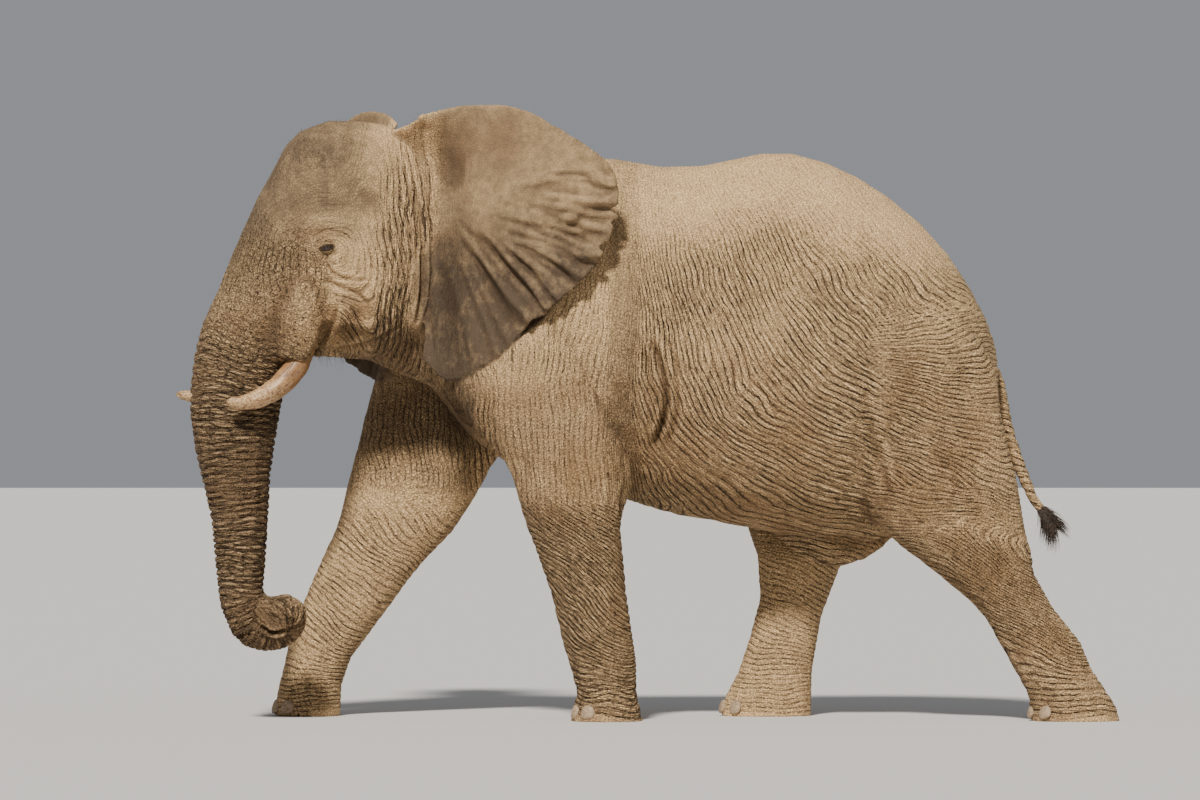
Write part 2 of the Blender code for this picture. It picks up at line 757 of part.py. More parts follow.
def eye_centres(body):
    """Centres of the left and the right eye, a little under the skin."""
    turn = head_turn()
    centres = []
    for side in (1, -1):
        outside = turn @ Vector((side * EYE_PLACE.x, EYE_PLACE.y, EYE_PLACE.z))
        inwards = turn.to_3x3() @ Vector((-side, 0.0, 0.0))
        centres.append(skin_point(body, outside, inwards) + inwards * EYE_DEPTH)
    return centres


def make_eye(name, centre, parts, cutters):
    """An eyeball in a socket of its own."""
    ball = Vector((EYE_RADIUS, EYE_RADIUS, EYE_RADIUS))
    room = ball + Vector((GAP, GAP, GAP))
    eye = place(name, ball_mesh(name, centre, ball, 0.0, EYE_GRID), parts)
    eye.data.shade_smooth()
    dress(eye, EYE)
    socket = place(name + "_socket", ball_mesh(name, centre, room, 0.0, EYE_GRID), cutters)
    boolean(bpy.data.objects["head"], "DIFFERENCE", hide(socket))


# ------------------------------------------------------------------ the whole animal


def centre_on_floor(parts):
    """Moves every piece alike, so that the outline's middle stands over the origin."""
    corners = [Vector(corner) for obj in parts.objects for corner in obj.bound_box]
    middle_x = (min(c.x for c in corners) + max(c.x for c in corners)) / 2
    middle_y = (min(c.y for c in corners) + max(c.y for c in corners)) / 2
    for obj in parts.objects:
        obj.data.transform(Matrix.Translation((-middle_x, -middle_y, 0.0)))


def main():
    """Builds the whole animal."""
    clear_scene()
    parts = new_collection("elephant")
    cutters = new_collection("cutters")
    body = fused_body(parts, cutters)
    seat = swollen(body, GAP, cutters)
    left_eye, right_eye = eye_centres(body)
    part_body(body, parts, cutters)
    make_ear("ear_left", LEFT_EAR, 1, seat, parts)
    make_ear("ear_right", RIGHT_EAR, -1, seat, parts)
    make_tusk("tusk_left", TUSK, seat, parts)
    right_tusk = longer(TUSK, RIGHT_TUSK_EXTRA, RIGHT_TUSK_RISE)
    make_tusk("tusk_right", mirrored(right_tusk), seat, parts)
    make_tail(seat, parts, cutters)
    make_eye("eye_left", left_eye, parts, cutters)
    make_eye("eye_right", right_eye, parts, cutters)
    make_nails("fore_left", LEFT_FORELEG, FORE_NAIL_ANGLES, seat, parts)
    make_nails("fore_right", RIGHT_FORELEG, FORE_NAIL_ANGLES, seat, parts)
    make_nails("hind_left", LEFT_HIND_LEG, HIND_NAIL_ANGLES, seat, parts)
    make_nails("hind_right", RIGHT_HIND_LEG, HIND_NAIL_ANGLES, seat, parts)
    centre_on_floor(parts)


main()
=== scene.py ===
"""Looks of a life-size African bush elephant bull in mid stride.

Metres, +Z up, soles on z = 0; the elephant faces -Y and its left side is +X. One skin replaces
every piece of flesh. Eyes, tusks, nails and hair are pieces of their own.
"""

import json
import logging
import math
from dataclasses import dataclass, field
from enum import Enum
from functools import reduce

import bmesh
import bpy
import numpy as np
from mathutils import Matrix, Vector


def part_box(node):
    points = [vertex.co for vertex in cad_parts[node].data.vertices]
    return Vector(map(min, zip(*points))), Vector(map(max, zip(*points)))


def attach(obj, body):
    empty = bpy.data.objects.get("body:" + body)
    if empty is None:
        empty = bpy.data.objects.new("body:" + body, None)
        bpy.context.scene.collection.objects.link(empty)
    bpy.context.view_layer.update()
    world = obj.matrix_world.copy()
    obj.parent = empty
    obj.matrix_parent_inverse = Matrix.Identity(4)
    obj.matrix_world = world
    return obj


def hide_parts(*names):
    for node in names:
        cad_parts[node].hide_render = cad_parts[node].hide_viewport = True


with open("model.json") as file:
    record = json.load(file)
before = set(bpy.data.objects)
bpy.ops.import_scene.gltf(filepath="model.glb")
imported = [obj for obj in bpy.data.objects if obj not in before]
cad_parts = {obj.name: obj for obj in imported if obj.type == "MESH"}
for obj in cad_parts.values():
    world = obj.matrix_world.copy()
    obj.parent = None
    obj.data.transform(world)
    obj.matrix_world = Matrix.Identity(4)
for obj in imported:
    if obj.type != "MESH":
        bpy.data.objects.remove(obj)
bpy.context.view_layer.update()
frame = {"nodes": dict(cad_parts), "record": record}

LOG = logging.getLogger("elephant")
Array = np.ndarray
Mesh, Object = bpy.types.Mesh, bpy.types.Object
Material, Socket = bpy.types.Material, bpy.types.NodeSocket

MIDDLE_X = 0.28  # the body's upright middle plane
HEAD_TURN = math.radians(14.0)  # the head looks a little to its left
HEAD_COS, HEAD_SIN = math.cos(HEAD_TURN), math.sin(HEAD_TURN)
HEAD_PIVOT = np.array([MIDDLE_X, -1.15, 0.0])
CHEEK = (-1.88, 2.63)  # y, z in the head's frame, middle of the rings of folds round the eye
EYE_SPOT = (-1.915, 2.665)  # y, z of the eye itself
ALONG = 0.14  # how much the folds' coordinates shrink along the folds
PRIMES = [np.uint32(n) for n in (374761393, 668265263, 2246822519, 1274126177, 2654435761)]
SEED_STEP = 3266489917
HAIR_PATCH = 0.003  # width of a hair on its map


class Side(Enum):
    """Left or right of the animal, as the sign of x from its middle plane."""

    LEFT = 1
    RIGHT = -1

    @property
    def tag(self) -> str:
        """The side as the nodes' names have it."""
        return self.name.lower()


class Place(Enum):
    """Which frame a form's points are given in."""

    BODY = "body"
    HEAD = "head"


# ------------------------------------------------------------------ arithmetic on whole arrays


def ease(low: float, high: float, value: Array) -> Array:
    """3 t^2 - 2 t^3, t the clipped share of the way from low to high, which may be under it."""
    share = np.clip((value - low) / (high - low), 0.0, 1.0)
    return share * share * (3.0 - 2.0 * share)


def unit(vectors: Array) -> Array:
    """Vectors of length 1 in the same directions."""
    return vectors / np.linalg.norm(vectors, axis=-1, keepdims=True)


def signed_power(value: Array, power: float) -> Array:
    """A power of the size of a value, with the value's own sign."""
    return np.sign(value) * np.abs(value) ** power


def bell(offset: Array) -> Array:
    """exp(-offset^2): 1 in its middle and next to nothing two widths away."""
    return np.exp(-(offset**2))


def hill(places: Array, centre: tuple, radii: tuple) -> Array:
    """exp(-q^2), q the distance from a centre, measured in radii along each axis."""
    return np.exp(-(((places - centre) / radii) ** 2).sum(axis=-1))


def smooth_max(first: Array, second: Array | float, soft: float) -> Array:
    """The larger of two values, the corner between them rounded over a soft width."""
    return 0.5 * (first + second + np.sqrt((first - second) ** 2 + soft**2))


def mixed(first: Array | float, second: Array | float, share: Array) -> Array:
    """Goes from the first to the second by a share, which may be one for each row."""
    if np.ndim(first) > np.ndim(share):
        share = share[..., None]
    return first + (second - first) * share


def hashed(x: Array, y: Array, z: Array, seed: int) -> Array:
    """Scrambles lattice corners into 32 random-looking bits.

    Args:
        x, y, z: whole-number corners.
        seed: picks another pattern.

    Returns:
        One unsigned number for each corner.
    """
    bits = x * PRIMES[0] + y * PRIMES[1] + z * PRIMES[2]
    bits = bits + np.uint32((seed * SEED_STEP) % 2**32)
    bits = (bits ^ (bits >> np.uint32(13))) * PRIMES[3]
    bits = (bits ^ (bits >> np.uint32(16))) * PRIMES[4]
    return bits ^ (bits >> np.uint32(15))


def lattice(points: Array) -> tuple[Array, Array]:
    """Splits places in lattice steps into whole, unsigned corners and what remains, 0 to 1."""
    base = np.floor(points)
    return base.astype(np.int64).astype(np.uint32), points - base


def noise(points: Array, size: float, seed: int = 0) -> Array:
    """A smooth random field: values at lattice corners one size apart, eased in between.

    Args:
        points: places in metres, x, y and z last.
        size: width of its features.
        seed: picks another field.

    Returns:
        A number from -1 to 1 for each point.
    """
    base, rest = lattice(points / size)
    rest = rest * rest * (3.0 - 2.0 * rest)
    total = np.zeros(points.shape[:-1])
    for corner in range(8):
        step = [(corner >> axis) & 1 for axis in range(3)]
        cell = [base[..., axis] + np.uint32(step[axis]) for axis in range(3)]
        share = np.ones(points.shape[:-1])
        for axis in range(3):
            share = share * (rest[..., axis] if step[axis] else 1.0 - rest[..., axis])
        total += share * (hashed(*cell, seed) / 2.0**31 - 1.0)
    return total


def cell_edges(points: Array, size: float, seed: int = 0) -> Array:
    """How far each point is from the border of its cell, in cell widths.

    Each lattice box holds one scattered seed; the result is the distance to the second
    nearest seed less the distance to the nearest one, so it is 0 on the borders.

    Args:
        points: places in metres, stretched where the cells are to be long.
        size: width of a cell.
        seed: picks another scatter.

    Returns:
        The distance from the border for each point.
    """
    base, rest = lattice(points / size)
    first = np.full(len(points), 9.0)
    second = np.full(len(points), 9.0)
    for number in range(27):
        step = (number % 3 - 1, number // 3 % 3 - 1, number // 9 - 1)
        bits = hashed(*(base[:, a] + np.uint32(step[a] % 2**32) for a in range(3)), seed)
        far = np.zeros(len(points))
        for axis in range(3):
            spread = ((bits >> np.uint32(10 * axis)) & np.uint32(1023)) / 1023.0
            far += (step[axis] + 0.1 + 0.8 * spread - rest[:, axis]) ** 2
        second = np.minimum(second, np.maximum(first, far))
        first = np.minimum(first, far)
    return np.sqrt(second) - np.sqrt(first)


def curve(table: Array, count: int) -> Array:
    """Reads stations as one smooth curve, evenly spaced along the first three columns.

    Each stretch is a cubic whose end slopes are the mean slopes at its stations.

    Args:
        table: rows of numbers, of which the first three are a place.
        count: how many rows to return.

    Returns:
        The rows along the curve.
    """
    table = np.array(table, dtype=float)
    steps = np.linalg.norm(np.diff(table[:, :3], axis=0), axis=1)
    knots = np.concatenate([[0.0], np.cumsum(steps)])
    slopes = np.gradient(table, knots, axis=0)
    at = np.linspace(0.0, knots[-1], count)
    row = np.clip(np.searchsorted(knots, at, side="right") - 1, 0, len(knots) - 2)
    width = (knots[row + 1] - knots[row])[:, None]
    t = (at[:, None] - knots[row][:, None]) / width
    start = (1 + 2 * t) * (1 - t) ** 2 * table[row] + t * (1 - t) ** 2 * width * slopes[row]
    end = t**2 * (3 - 2 * t) * table[row + 1] + t**2 * (t - 1) * width * slopes[row + 1]
    return start + end


def from_head(points: Array) -> Array:
    """Turns points from the head's own frame, whose x is 0 in its middle, into the world.

    Args:
        points: places in the head's frame, x, y and z last.

    Returns:
        The same places in the world.
    """
    x, y = points[..., 0], points[..., 1] - HEAD_PIVOT[1]
    across = HEAD_PIVOT[0] + x * HEAD_COS - y * HEAD_SIN
    along = HEAD_PIVOT[1] + x * HEAD_SIN + y * HEAD_COS
    return np.stack([across, along, points[..., 2]], axis=-1)


def way_from_head(way: list) -> Array:
    """Turns a direction from the head's own frame into the world's."""
    return from_head(np.array(way)) - from_head(np.zeros(3))


def to_head(points: Array) -> Array:
    """Turns points of the world into the head's own frame.

    Args:
        points: places in the world.

    Returns:
        The same places in the head's frame.
    """
    x, y = points[..., 0] - HEAD_PIVOT[0], points[..., 1] - HEAD_PIVOT[1]
    along = HEAD_PIVOT[1] - x * HEAD_SIN + y * HEAD_COS
    return np.stack([x * HEAD_COS + y * HEAD_SIN, along, points[..., 2]], axis=-1)


# ------------------------------------------------------------------ meshes


def box_of(node: str) -> tuple[Array, Array]:
    """The middle and the sizes of a CAD node's box."""
    low, high = (np.array(corner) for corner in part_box(node))
    return (low + high) / 2, high - low


def new_object(name: str, points: Array, faces: list, turn_out: bool = False) -> Object:
    """Makes a smooth-shaded object.

    Args:
        name: its name.
        points: corners.
        faces: lists of corner numbers.
        turn_out: whether its faces are to be turned to point out.

    Returns:
        The object, at the origin.
    """
    mesh = bpy.data.meshes.new(name)
    mesh.from_pydata(points.tolist(), [], faces)
    if turn_out:
        outward(mesh)
    mesh.shade_smooth()
    obj = bpy.data.objects.new(name, mesh)
    bpy.context.scene.collection.objects.link(obj)
    return obj


def read(items: object, name: str, width: int, kind: type = np.float32) -> Array:
    """Reads one property of every item, such as a mesh's corners, in rows of a width."""
    values = np.empty(len(items) * width, kind)
    items.foreach_get(name, values)
    return values.reshape(-1, width)


def mesh_points(mesh: Mesh) -> Array:
    """Where a mesh's corners are."""
    return read(mesh.vertices, "co", 3).astype(float)


def mesh_edges(mesh: Mesh) -> Array:
    """The two corners of each edge of a mesh."""
    return read(mesh.edges, "vertices", 2, np.int32)


def set_points(mesh: Mesh, points: Array) -> None:
    """Moves a mesh's corners."""
    mesh.vertices.foreach_set("co", points.astype(np.float32).ravel())
    mesh.update()


def mesh_normals(mesh: Mesh) -> Array:
    """The direction straight out of the surface at each corner."""
    return read(mesh.vertex_normals, "vector", 3).astype(float)


def set_attribute(mesh: Mesh, name: str, values: Array) -> None:
    """Stores one number or one vector for each corner.

    Args:
        mesh: the mesh.
        name: the attribute's name, which a material may read.
        values: one row for each corner.
    """
    vector = values.ndim == 2
    kind = "FLOAT_VECTOR" if vector else "FLOAT"
    layer = mesh.attributes.get(name) or mesh.attributes.new(name, kind, "POINT")
    layer.data.foreach_set("vector" if vector else "value", values.astype(np.float32).ravel())


def get_attribute(mesh: Mesh, name: str) -> Array:
    """Reads one stored number for each corner."""
    return read(mesh.attributes[name].data, "value", 1)[:, 0]


def grid_faces(rows: int, columns: int, wrap: bool) -> Array:
    """Corner numbers of the squares of a grid.

    Args:
        rows: rows of points.
        columns: points in a row.
        wrap: whether each row closes on itself.

    Returns:
        One row of four for each square.
    """
    index = np.arange(rows * columns).reshape(rows, columns)
    if wrap:
        index = np.concatenate([index, index[:, :1]], axis=1)
    corners = (index[:-1, :-1], index[:-1, 1:], index[1:, 1:], index[1:, :-1])
    return np.stack([corner.ravel() for corner in corners], axis=1)


def tube(name: str, rings: Array) -> Object:
    """Skins a stack of rings and closes both ends with a fan to their middles.

    Args:
        name: the object's name.
        rings: rows x around x 3 points.

    Returns:
        A closed object with its faces pointing out.
    """
    count, around = rings.shape[:2]
    ends = np.stack([rings[0].mean(axis=0), rings[-1].mean(axis=0)])
    points = np.concatenate([rings.reshape(-1, 3), ends])
    ring = np.arange(around)
    after = np.roll(ring, -1)
    last = (count - 1) * around
    total = count * around
    squares = grid_faces(count, around, True)
    start = np.stack([after, ring, np.full(around, total)], axis=1)
    stop = np.stack([last + ring, last + after, np.full(around, total + 1)], axis=1)
    faces = squares.tolist() + start.tolist() + stop.tolist()
    return new_object(name, points, faces, turn_out=True)


def outward(mesh: Mesh) -> None:
    """Turns all faces of a closed mesh to point out.

    Args:
        mesh: what is turned, in place.
    """
    shape = bmesh.new()
    shape.from_mesh(mesh)
    bmesh.ops.recalc_face_normals(shape, faces=shape.faces)
    shape.to_mesh(mesh)
    shape.free()


def ring_frames(centre: Array) -> tuple[Array, Array, Array]:
    """Directions along and across a bent line, which never twist about it.

    The first crosswise direction starts near +X and is carried along the line.

    Args:
        centre: points along the line.

    Returns:
        Unit vectors along, to the side and in depth, at each point.
    """
    along = unit(np.gradient(centre, axis=0))
    side = np.array([1.0, 0.0, 0.0])
    sides = []
    for tangent in along:
        side = unit(side - tangent * side.dot(tangent))
        sides.append(side)
    sides = np.array(sides)
    return along, sides, np.cross(along, sides)


def apply_modifiers(obj: Object) -> None:
    """Replaces an object's mesh by the one its modifiers make.

    Args:
        obj: the object, which keeps no modifiers.
    """
    bpy.context.view_layer.update()
    graph = bpy.context.evaluated_depsgraph_get()
    mesh = bpy.data.meshes.new_from_object(obj.evaluated_get(graph))
    obj.modifiers.clear()
    obj.data = mesh


@dataclass
class Neighbours:
    """Which corners of a mesh are joined, kept ready for fast averages."""

    target: Array
    starts: Array
    count: Array

    @classmethod
    def of(cls, mesh: Mesh) -> "Neighbours":
        """Reads a mesh's edges and sorts them by the corner they start from.

        Args:
            mesh: whose corners are looked at.

        Returns:
            The sorted neighbours.
        """
        edges = mesh_edges(mesh)
        source = np.concatenate([edges[:, 0], edges[:, 1]])
        target = np.concatenate([edges[:, 1], edges[:, 0]])
        order = np.argsort(source, kind="stable")
        count = np.bincount(source, minlength=len(mesh.vertices))
        starts = np.concatenate([[0], np.cumsum(count)[:-1]])
        return cls(target[order], starts, count)

    def drawn(self, points: Array, amount: Array | float) -> Array:
        """Draws corners by a share towards the mean of the corners they are joined to."""
        sums = np.add.reduceat(points[self.target], self.starts, axis=0)
        return points + amount * (sums / self.count[:, None] - points)


# ------------------------------------------------------------------ materials


class Nodes:
    """A short way to write a material's node tree."""

    def __init__(self, name: str, roughness: float) -> None:
        """Starts a material with a Principled shader.

        Args:
            name: the material's name.
            roughness: how matt it is, from 0 to 1.
        """
        self.material = bpy.data.materials.new(name)
        self.material.use_nodes = True
        self.tree = self.material.node_tree
        self.shader = self.tree.nodes["Principled BSDF"]
        self.shader.inputs["Roughness"].default_value = roughness

    def add(self, kind: str, inputs: dict | None = None, **settings: object) -> bpy.types.Node:
        """Adds a node.

        Args:
            kind: its type without the ShaderNode prefix.
            inputs: socket values, or output sockets to link, by socket name or number.
            settings: the node's own properties.

        Returns:
            The node.
        """
        node = self.tree.nodes.new("ShaderNode" + kind)
        for key, value in settings.items():
            setattr(node, key, value)
        for key, value in (inputs or {}).items():
            if isinstance(value, Socket):
                self.tree.links.new(value, node.inputs[key])
            else:
                node.inputs[key].default_value = value
        return node

    def attribute(self, name: str, kind: str = "Fac") -> Socket:
        """A number or vector stored on the mesh."""
        return self.add("Attribute", attribute_name=name).outputs[kind]

    def math(self, operation: str, *values: object) -> Socket:
        """One step of arithmetic on numbers or sockets."""
        inputs = dict(enumerate(values))
        return self.add("Math", inputs, operation=operation).outputs[0]

    def times(self, *values: object) -> Socket:
        """The product of numbers and sockets, the first of which is a socket."""
        return reduce(lambda product, value: self.math("MULTIPLY", product, value), values)

    def span(self, value: Socket, low: float, high: float,
             start: float = 0.0, end: float = 1.0) -> Socket:
        """Eases a socket, so that its span from low to high becomes start to end."""
        inputs = {0: value, 1: low, 2: high, 3: start, 4: end}
        return self.add("MapRange", inputs, interpolation_type="SMOOTHSTEP").outputs[0]

    def blend(self, share: object, first: object, second: object) -> Socket:
        """Mixes two colours, share being how much of the second."""
        inputs = {0: share, 6: first, 7: second}
        return self.add("Mix", inputs, data_type="RGBA").outputs[2]

    def mix(self, share: object, first: object, second: object) -> Socket:
        """Mixes two numbers, share being how much of the second."""
        return self.add("Mix", {0: share, 2: first, 3: second}, data_type="FLOAT").outputs[0]

    def wear(self, **sockets: Socket) -> Material:
        """Links sockets to the shader's inputs by name and returns the material."""
        for name, socket in sockets.items():
            self.tree.links.new(socket, self.shader.inputs[name.replace("_", " ")])
        return self.material

    def plain(self, **values: object) -> None:
        """Sets plain values of the shader's inputs by name."""
        for name, value in values.items():
            self.shader.inputs[name.replace("_", " ")].default_value = value

    def noise(self, where: Socket, scale: float, detail: float = 3.0,
              roughness: float = 0.55) -> Socket:
        """Cloudy noise from 0 to 1: features for each metre, finer layers, their strength."""
        inputs = {"Vector": where, "Scale": scale, "Detail": detail, "Roughness": roughness}
        return self.add("TexNoise", inputs).outputs[0]

    def cracks(self, where: Socket, scale: float) -> Socket:
        """Distance from the borders of scattered cells."""
        inputs = {"Vector": where, "Scale": scale}
        node = self.add("TexVoronoi", inputs, feature="DISTANCE_TO_EDGE")
        return node.outputs["Distance"]

    def bump(self, height: Socket, distance: float, under: Socket | None = None) -> Socket:
        """Relief from a height in shares of a distance.

        Args:
            height: from 0 to 1.
            distance: metres between 0 and 1.
            under: relief that it lies on.

        Returns:
            The bent normal.
        """
        inputs = {"Height": height, "Distance": distance, "Strength": 1.0}
        if under is not None:
            inputs["Normal"] = under
        return self.add("Bump", inputs).outputs[0]

    def stretched(self, where: Socket, scale: tuple) -> Socket:
        """Coordinates scaled by another amount along each axis."""
        return self.add("Mapping", {"Vector": where, "Scale": scale}).outputs[0]

    def position(self) -> Socket:
        """Object coordinates."""
        return self.add("TexCoord").outputs["Object"]


@dataclass(frozen=True)
class HideFinish:
    """Dry hide: long folds in the lie that the skin stores, a fine net, dust and stains, with
    painted light in the dust and painted shade in the folds and cracks.
    """

    # pale dust colour, which also carries the painted light on tops and on the far legs
    dust: tuple = (0.80, 0.535, 0.272, 1.0)
    clay: tuple = (0.425, 0.255, 0.119, 1.0)
    # dark stains, and painted shade on the throat, the ears and the near legs
    ash: tuple = (0.085, 0.059, 0.037, 1.0)
    # painted shade in the bottoms of folds, lines, cracks, creases and sunk hollows
    crease: tuple = (0.045, 0.027, 0.015, 1.0)
    folds_per_metre: float = 29.0
    fold_depth: float = 0.0180
    lines_per_metre: float = 66.0
    line_depth: float = 0.0048
    net_per_metre: float = 60.0
    net_depth: float = 0.0036
    net_drift: float = 0.014  # how far the net's cells are pulled out of shape
    grain_depth: float = 0.0010
    row_width: float = 0.190  # half a fold's width, in shares of the gap between folds
    # the most painted shade that a fold's bottom takes
    darkest: float = 0.95  # how much of a fold's colour its bottom takes

    def folds(self, n: Nodes) -> tuple[Socket, ...]:
        """The folds in the stored lie: rows where they run long, cells elsewhere.

        A row's height is the distance from its middle, PINGPONG(phase, 0.5), eased; a
        little noise makes the rows waver and fade in places.

        Args:
            n: the material's nodes.

        Returns:
            How deep in a fold a place is, how high between folds, and in a finer line.
        """
        here = n.position()
        lies = [n.attribute(name, "Vector") for name in ("lie_a", "lie_b")]
        share, long = n.attribute("lie_mix"), n.attribute("long")
        far = n.mix(share, *(n.cracks(lie, self.folds_per_metre) for lie in lies))
        fine_far = n.mix(share, *(n.cracks(lie, self.lines_per_metre) for lie in lies))
        waver = n.math("MULTIPLY_ADD", n.noise(here, 34.0, 2.0), 0.34, -0.17)
        row = n.mix(share, *(n.math("PINGPONG", n.math("ADD", n.attribute(name), waver), 0.5)
                             for name in ("phase_a", "phase_b")))
        broken = n.span(n.noise(here, 6.5, 3.0, 0.6), 0.33, 0.55, 0.50, 1.0)
        crack = n.span(far, 0.0, 0.105, 1.0, 0.0)
        fold = n.times(n.span(row, 0.0, self.row_width, 1.0, 0.0), broken)
        fold = n.math("MAXIMUM", fold, n.times(crack, 0.30))
        line = n.mix(long, crack, fold)
        round_cell = n.span(far, 0.0, 0.36, 0.35, 1.0)
        round_row = n.times(n.span(row, 0.0, 0.40, 0.35, 1.0), 0.75)
        round_row = n.math("MULTIPLY_ADD", round_cell, 0.25, round_row)
        pillow = n.math("MULTIPLY_ADD", line, -0.35, n.mix(long, round_cell, round_row))
        return line, pillow, n.span(fine_far, 0.0, 0.20, 1.0, 0.0)

    def make(self) -> Material:
        """Builds the material.

        Returns:
            The material.
        """
        n = Nodes("hide", 0.86)
        here = n.position()
        line, pillow, hatch = self.folds(n)
        patches = n.noise(here, 2.1, 5.0, 0.6)
        relief = n.times(n.attribute("relief"), n.span(patches, 0.2, 0.8, 0.65, 1.35))
        soft = n.math("MULTIPLY_ADD", n.math("SUBTRACT", pillow, 1.0), relief, 1.0)
        cloud = n.add("TexNoise", {"Vector": here, "Scale": 38.0}).outputs[1]
        pulled = {0: cloud, "Scale": self.net_drift}
        drift = n.add("VectorMath", pulled, operation="SCALE").outputs[0]
        drifted = n.add("VectorMath", {0: here, 1: drift}).outputs[0]
        mesh = n.cracks(drifted, self.net_per_metre)
        weave = n.attribute("net")
        normal = n.bump(soft, self.fold_depth)
        normal = n.bump(n.times(relief, -1.0, hatch), self.line_depth, normal)
        normal = n.bump(n.times(n.span(mesh, 0.0, 0.42), weave), self.net_depth, normal)
        normal = n.bump(n.noise(here, 190.0, 2.0), self.grain_depth, normal)

        fine = n.noise(here, 21.0, 4.0, 0.65)
        # dust colour where the dust attribute is high, which also holds painted light on tops and
        # the far legs
        dusty = n.math("ADD", n.span(patches, 0.35, 0.65), n.attribute("dust"))
        colour = n.blend(n.span(dusty, 0.0, 1.4), self.clay, self.dust)
        colour = n.blend(n.span(fine, 0.40, 0.70, 0.0, 0.30), colour, self.clay)
        # dark stains, with painted shade on the throat, the ears and the near legs
        stain = n.times(n.attribute("ash"), n.span(fine, 0.30, 0.65, 0.85, 1.0))
        stain = n.times(stain, n.span(n.noise(here, 7.0, 3.0), 0.35, 0.6, 0.90, 1.03))
        colour = n.blend(stain, colour, self.ash)
        # painted shade in the bottoms of the folds and lines, in creases and in sunk hollows
        hollow = n.math("MAXIMUM", n.times(line, relief, 1.25), n.attribute("crease"))
        hollow = n.math("MAXIMUM", hollow, n.times(hatch, relief, 0.60))
        hollow = n.math("MINIMUM", hollow, self.darkest)
        colour = n.blend(hollow, colour, self.crease)
        # painted shade in the cracks of the fine net
        netted = n.times(n.span(mesh, 0.02, 0.17, 0.60, 0.0), weave)
        colour = n.blend(netted, colour, self.crease)
        n.plain(Specular_IOR_Level=0.2)
        return n.wear(Base_Color=colour, Normal=normal)


@dataclass(frozen=True)
class IvoryFinish:
    """Old ivory: stained towards the lip, streaked and cracked along its length."""

    pale: tuple = (0.64, 0.43, 0.220, 1.0)
    stain: tuple = (0.27, 0.130, 0.046, 1.0)
    dark: tuple = (0.07, 0.038, 0.022, 1.0)
    streaks_per_turn: float = 26.0
    streaks_per_length: float = 2.2
    groove_depth: float = 0.0016
    pit_depth: float = 0.0004

    def make(self) -> Material:
        """Builds the material; the map runs round the tusk and along it.

        Returns:
            The material.
        """
        n = Nodes("ivory", 0.42)
        here = n.position()
        place = n.add("UVMap", uv_map="along").outputs[0]
        streak = n.stretched(place, (self.streaks_per_turn, self.streaks_per_length, 1.0))
        along = n.add("SeparateXYZ", {0: place}).outputs[1]
        streaks = n.noise(streak, 1.0, 5.0, 0.65)
        blots = n.noise(here, 22.0, 4.0, 0.6)
        old = n.math("ADD", n.span(along, 0.75, 0.15), n.times(blots, 0.7))
        colour = n.blend(n.span(old, 0.25, 1.0, 0.05, 0.9), self.pale, self.stain)
        colour = n.blend(n.span(streaks, 0.48, 0.64, 0.0, 0.75), colour, self.stain)
        fissure = n.span(n.cracks(streak, 0.8), 0.0, 0.05, 1.0, 0.0)
        fissure = n.times(fissure, n.span(blots, 0.38, 0.58))
        soil = n.noise(here, 70.0, 4.0, 0.7)
        colour = n.blend(n.span(soil, 0.46, 0.58, 0.0, 0.85), colour, self.stain)
        colour = n.blend(n.span(soil, 0.57, 0.70, 0.0, 0.90), colour, self.dark)
        colour = n.blend(fissure, colour, self.dark)
        normal = n.bump(n.math("SUBTRACT", streaks, fissure), self.groove_depth)
        normal = n.bump(n.noise(here, 160.0, 3.0), self.pit_depth, normal)
        rough = n.span(streaks, 0.3, 0.7, 0.36, 0.6)
        return n.wear(Base_Color=colour, Normal=normal, Roughness=rough)


@dataclass(frozen=True)
class EyeFinish:
    """A wet brown eye: pupil, streaked iris and dull white, by the angle from its axis."""

    pupil: tuple = (0.004, 0.003, 0.003, 1.0)
    iris: tuple = (0.060, 0.028, 0.012, 1.0)
    rim: tuple = (0.012, 0.007, 0.005, 1.0)
    white: tuple = (0.060, 0.042, 0.032, 1.0)
    rays: tuple = (60.0, 5.0, 1.0)  # how often the iris's streaks repeat round and outwards
    pupil_edge: tuple = (0.125, 0.15)  # edges in shares of the half turn from front to back
    rim_edge: tuple = (0.29, 0.335)
    white_edge: tuple = (0.36, 0.42)

    def make(self) -> Material:
        """Builds the material; the map runs round the axis and out from it.

        Returns:
            The material.
        """
        n = Nodes("eye", 0.07)
        place = n.add("UVMap", uv_map="along").outputs[0]
        out = n.add("SeparateXYZ", {0: place}).outputs[1]
        rays = n.noise(n.stretched(place, self.rays), 1.0, 3.0)
        iris = n.blend(n.span(rays, 0.3, 0.7), self.rim, self.iris)
        colour = n.blend(n.span(out, *self.pupil_edge), self.pupil, iris)
        colour = n.blend(n.span(out, *self.rim_edge), colour, self.rim)
        colour = n.blend(n.span(out, *self.white_edge), colour, self.white)
        normal = n.bump(n.noise(n.position(), 300.0, 2.0), 0.0001)
        n.plain(Coat_Weight=1.0, Coat_Roughness=0.02)
        return n.wear(Base_Color=colour, Normal=normal)


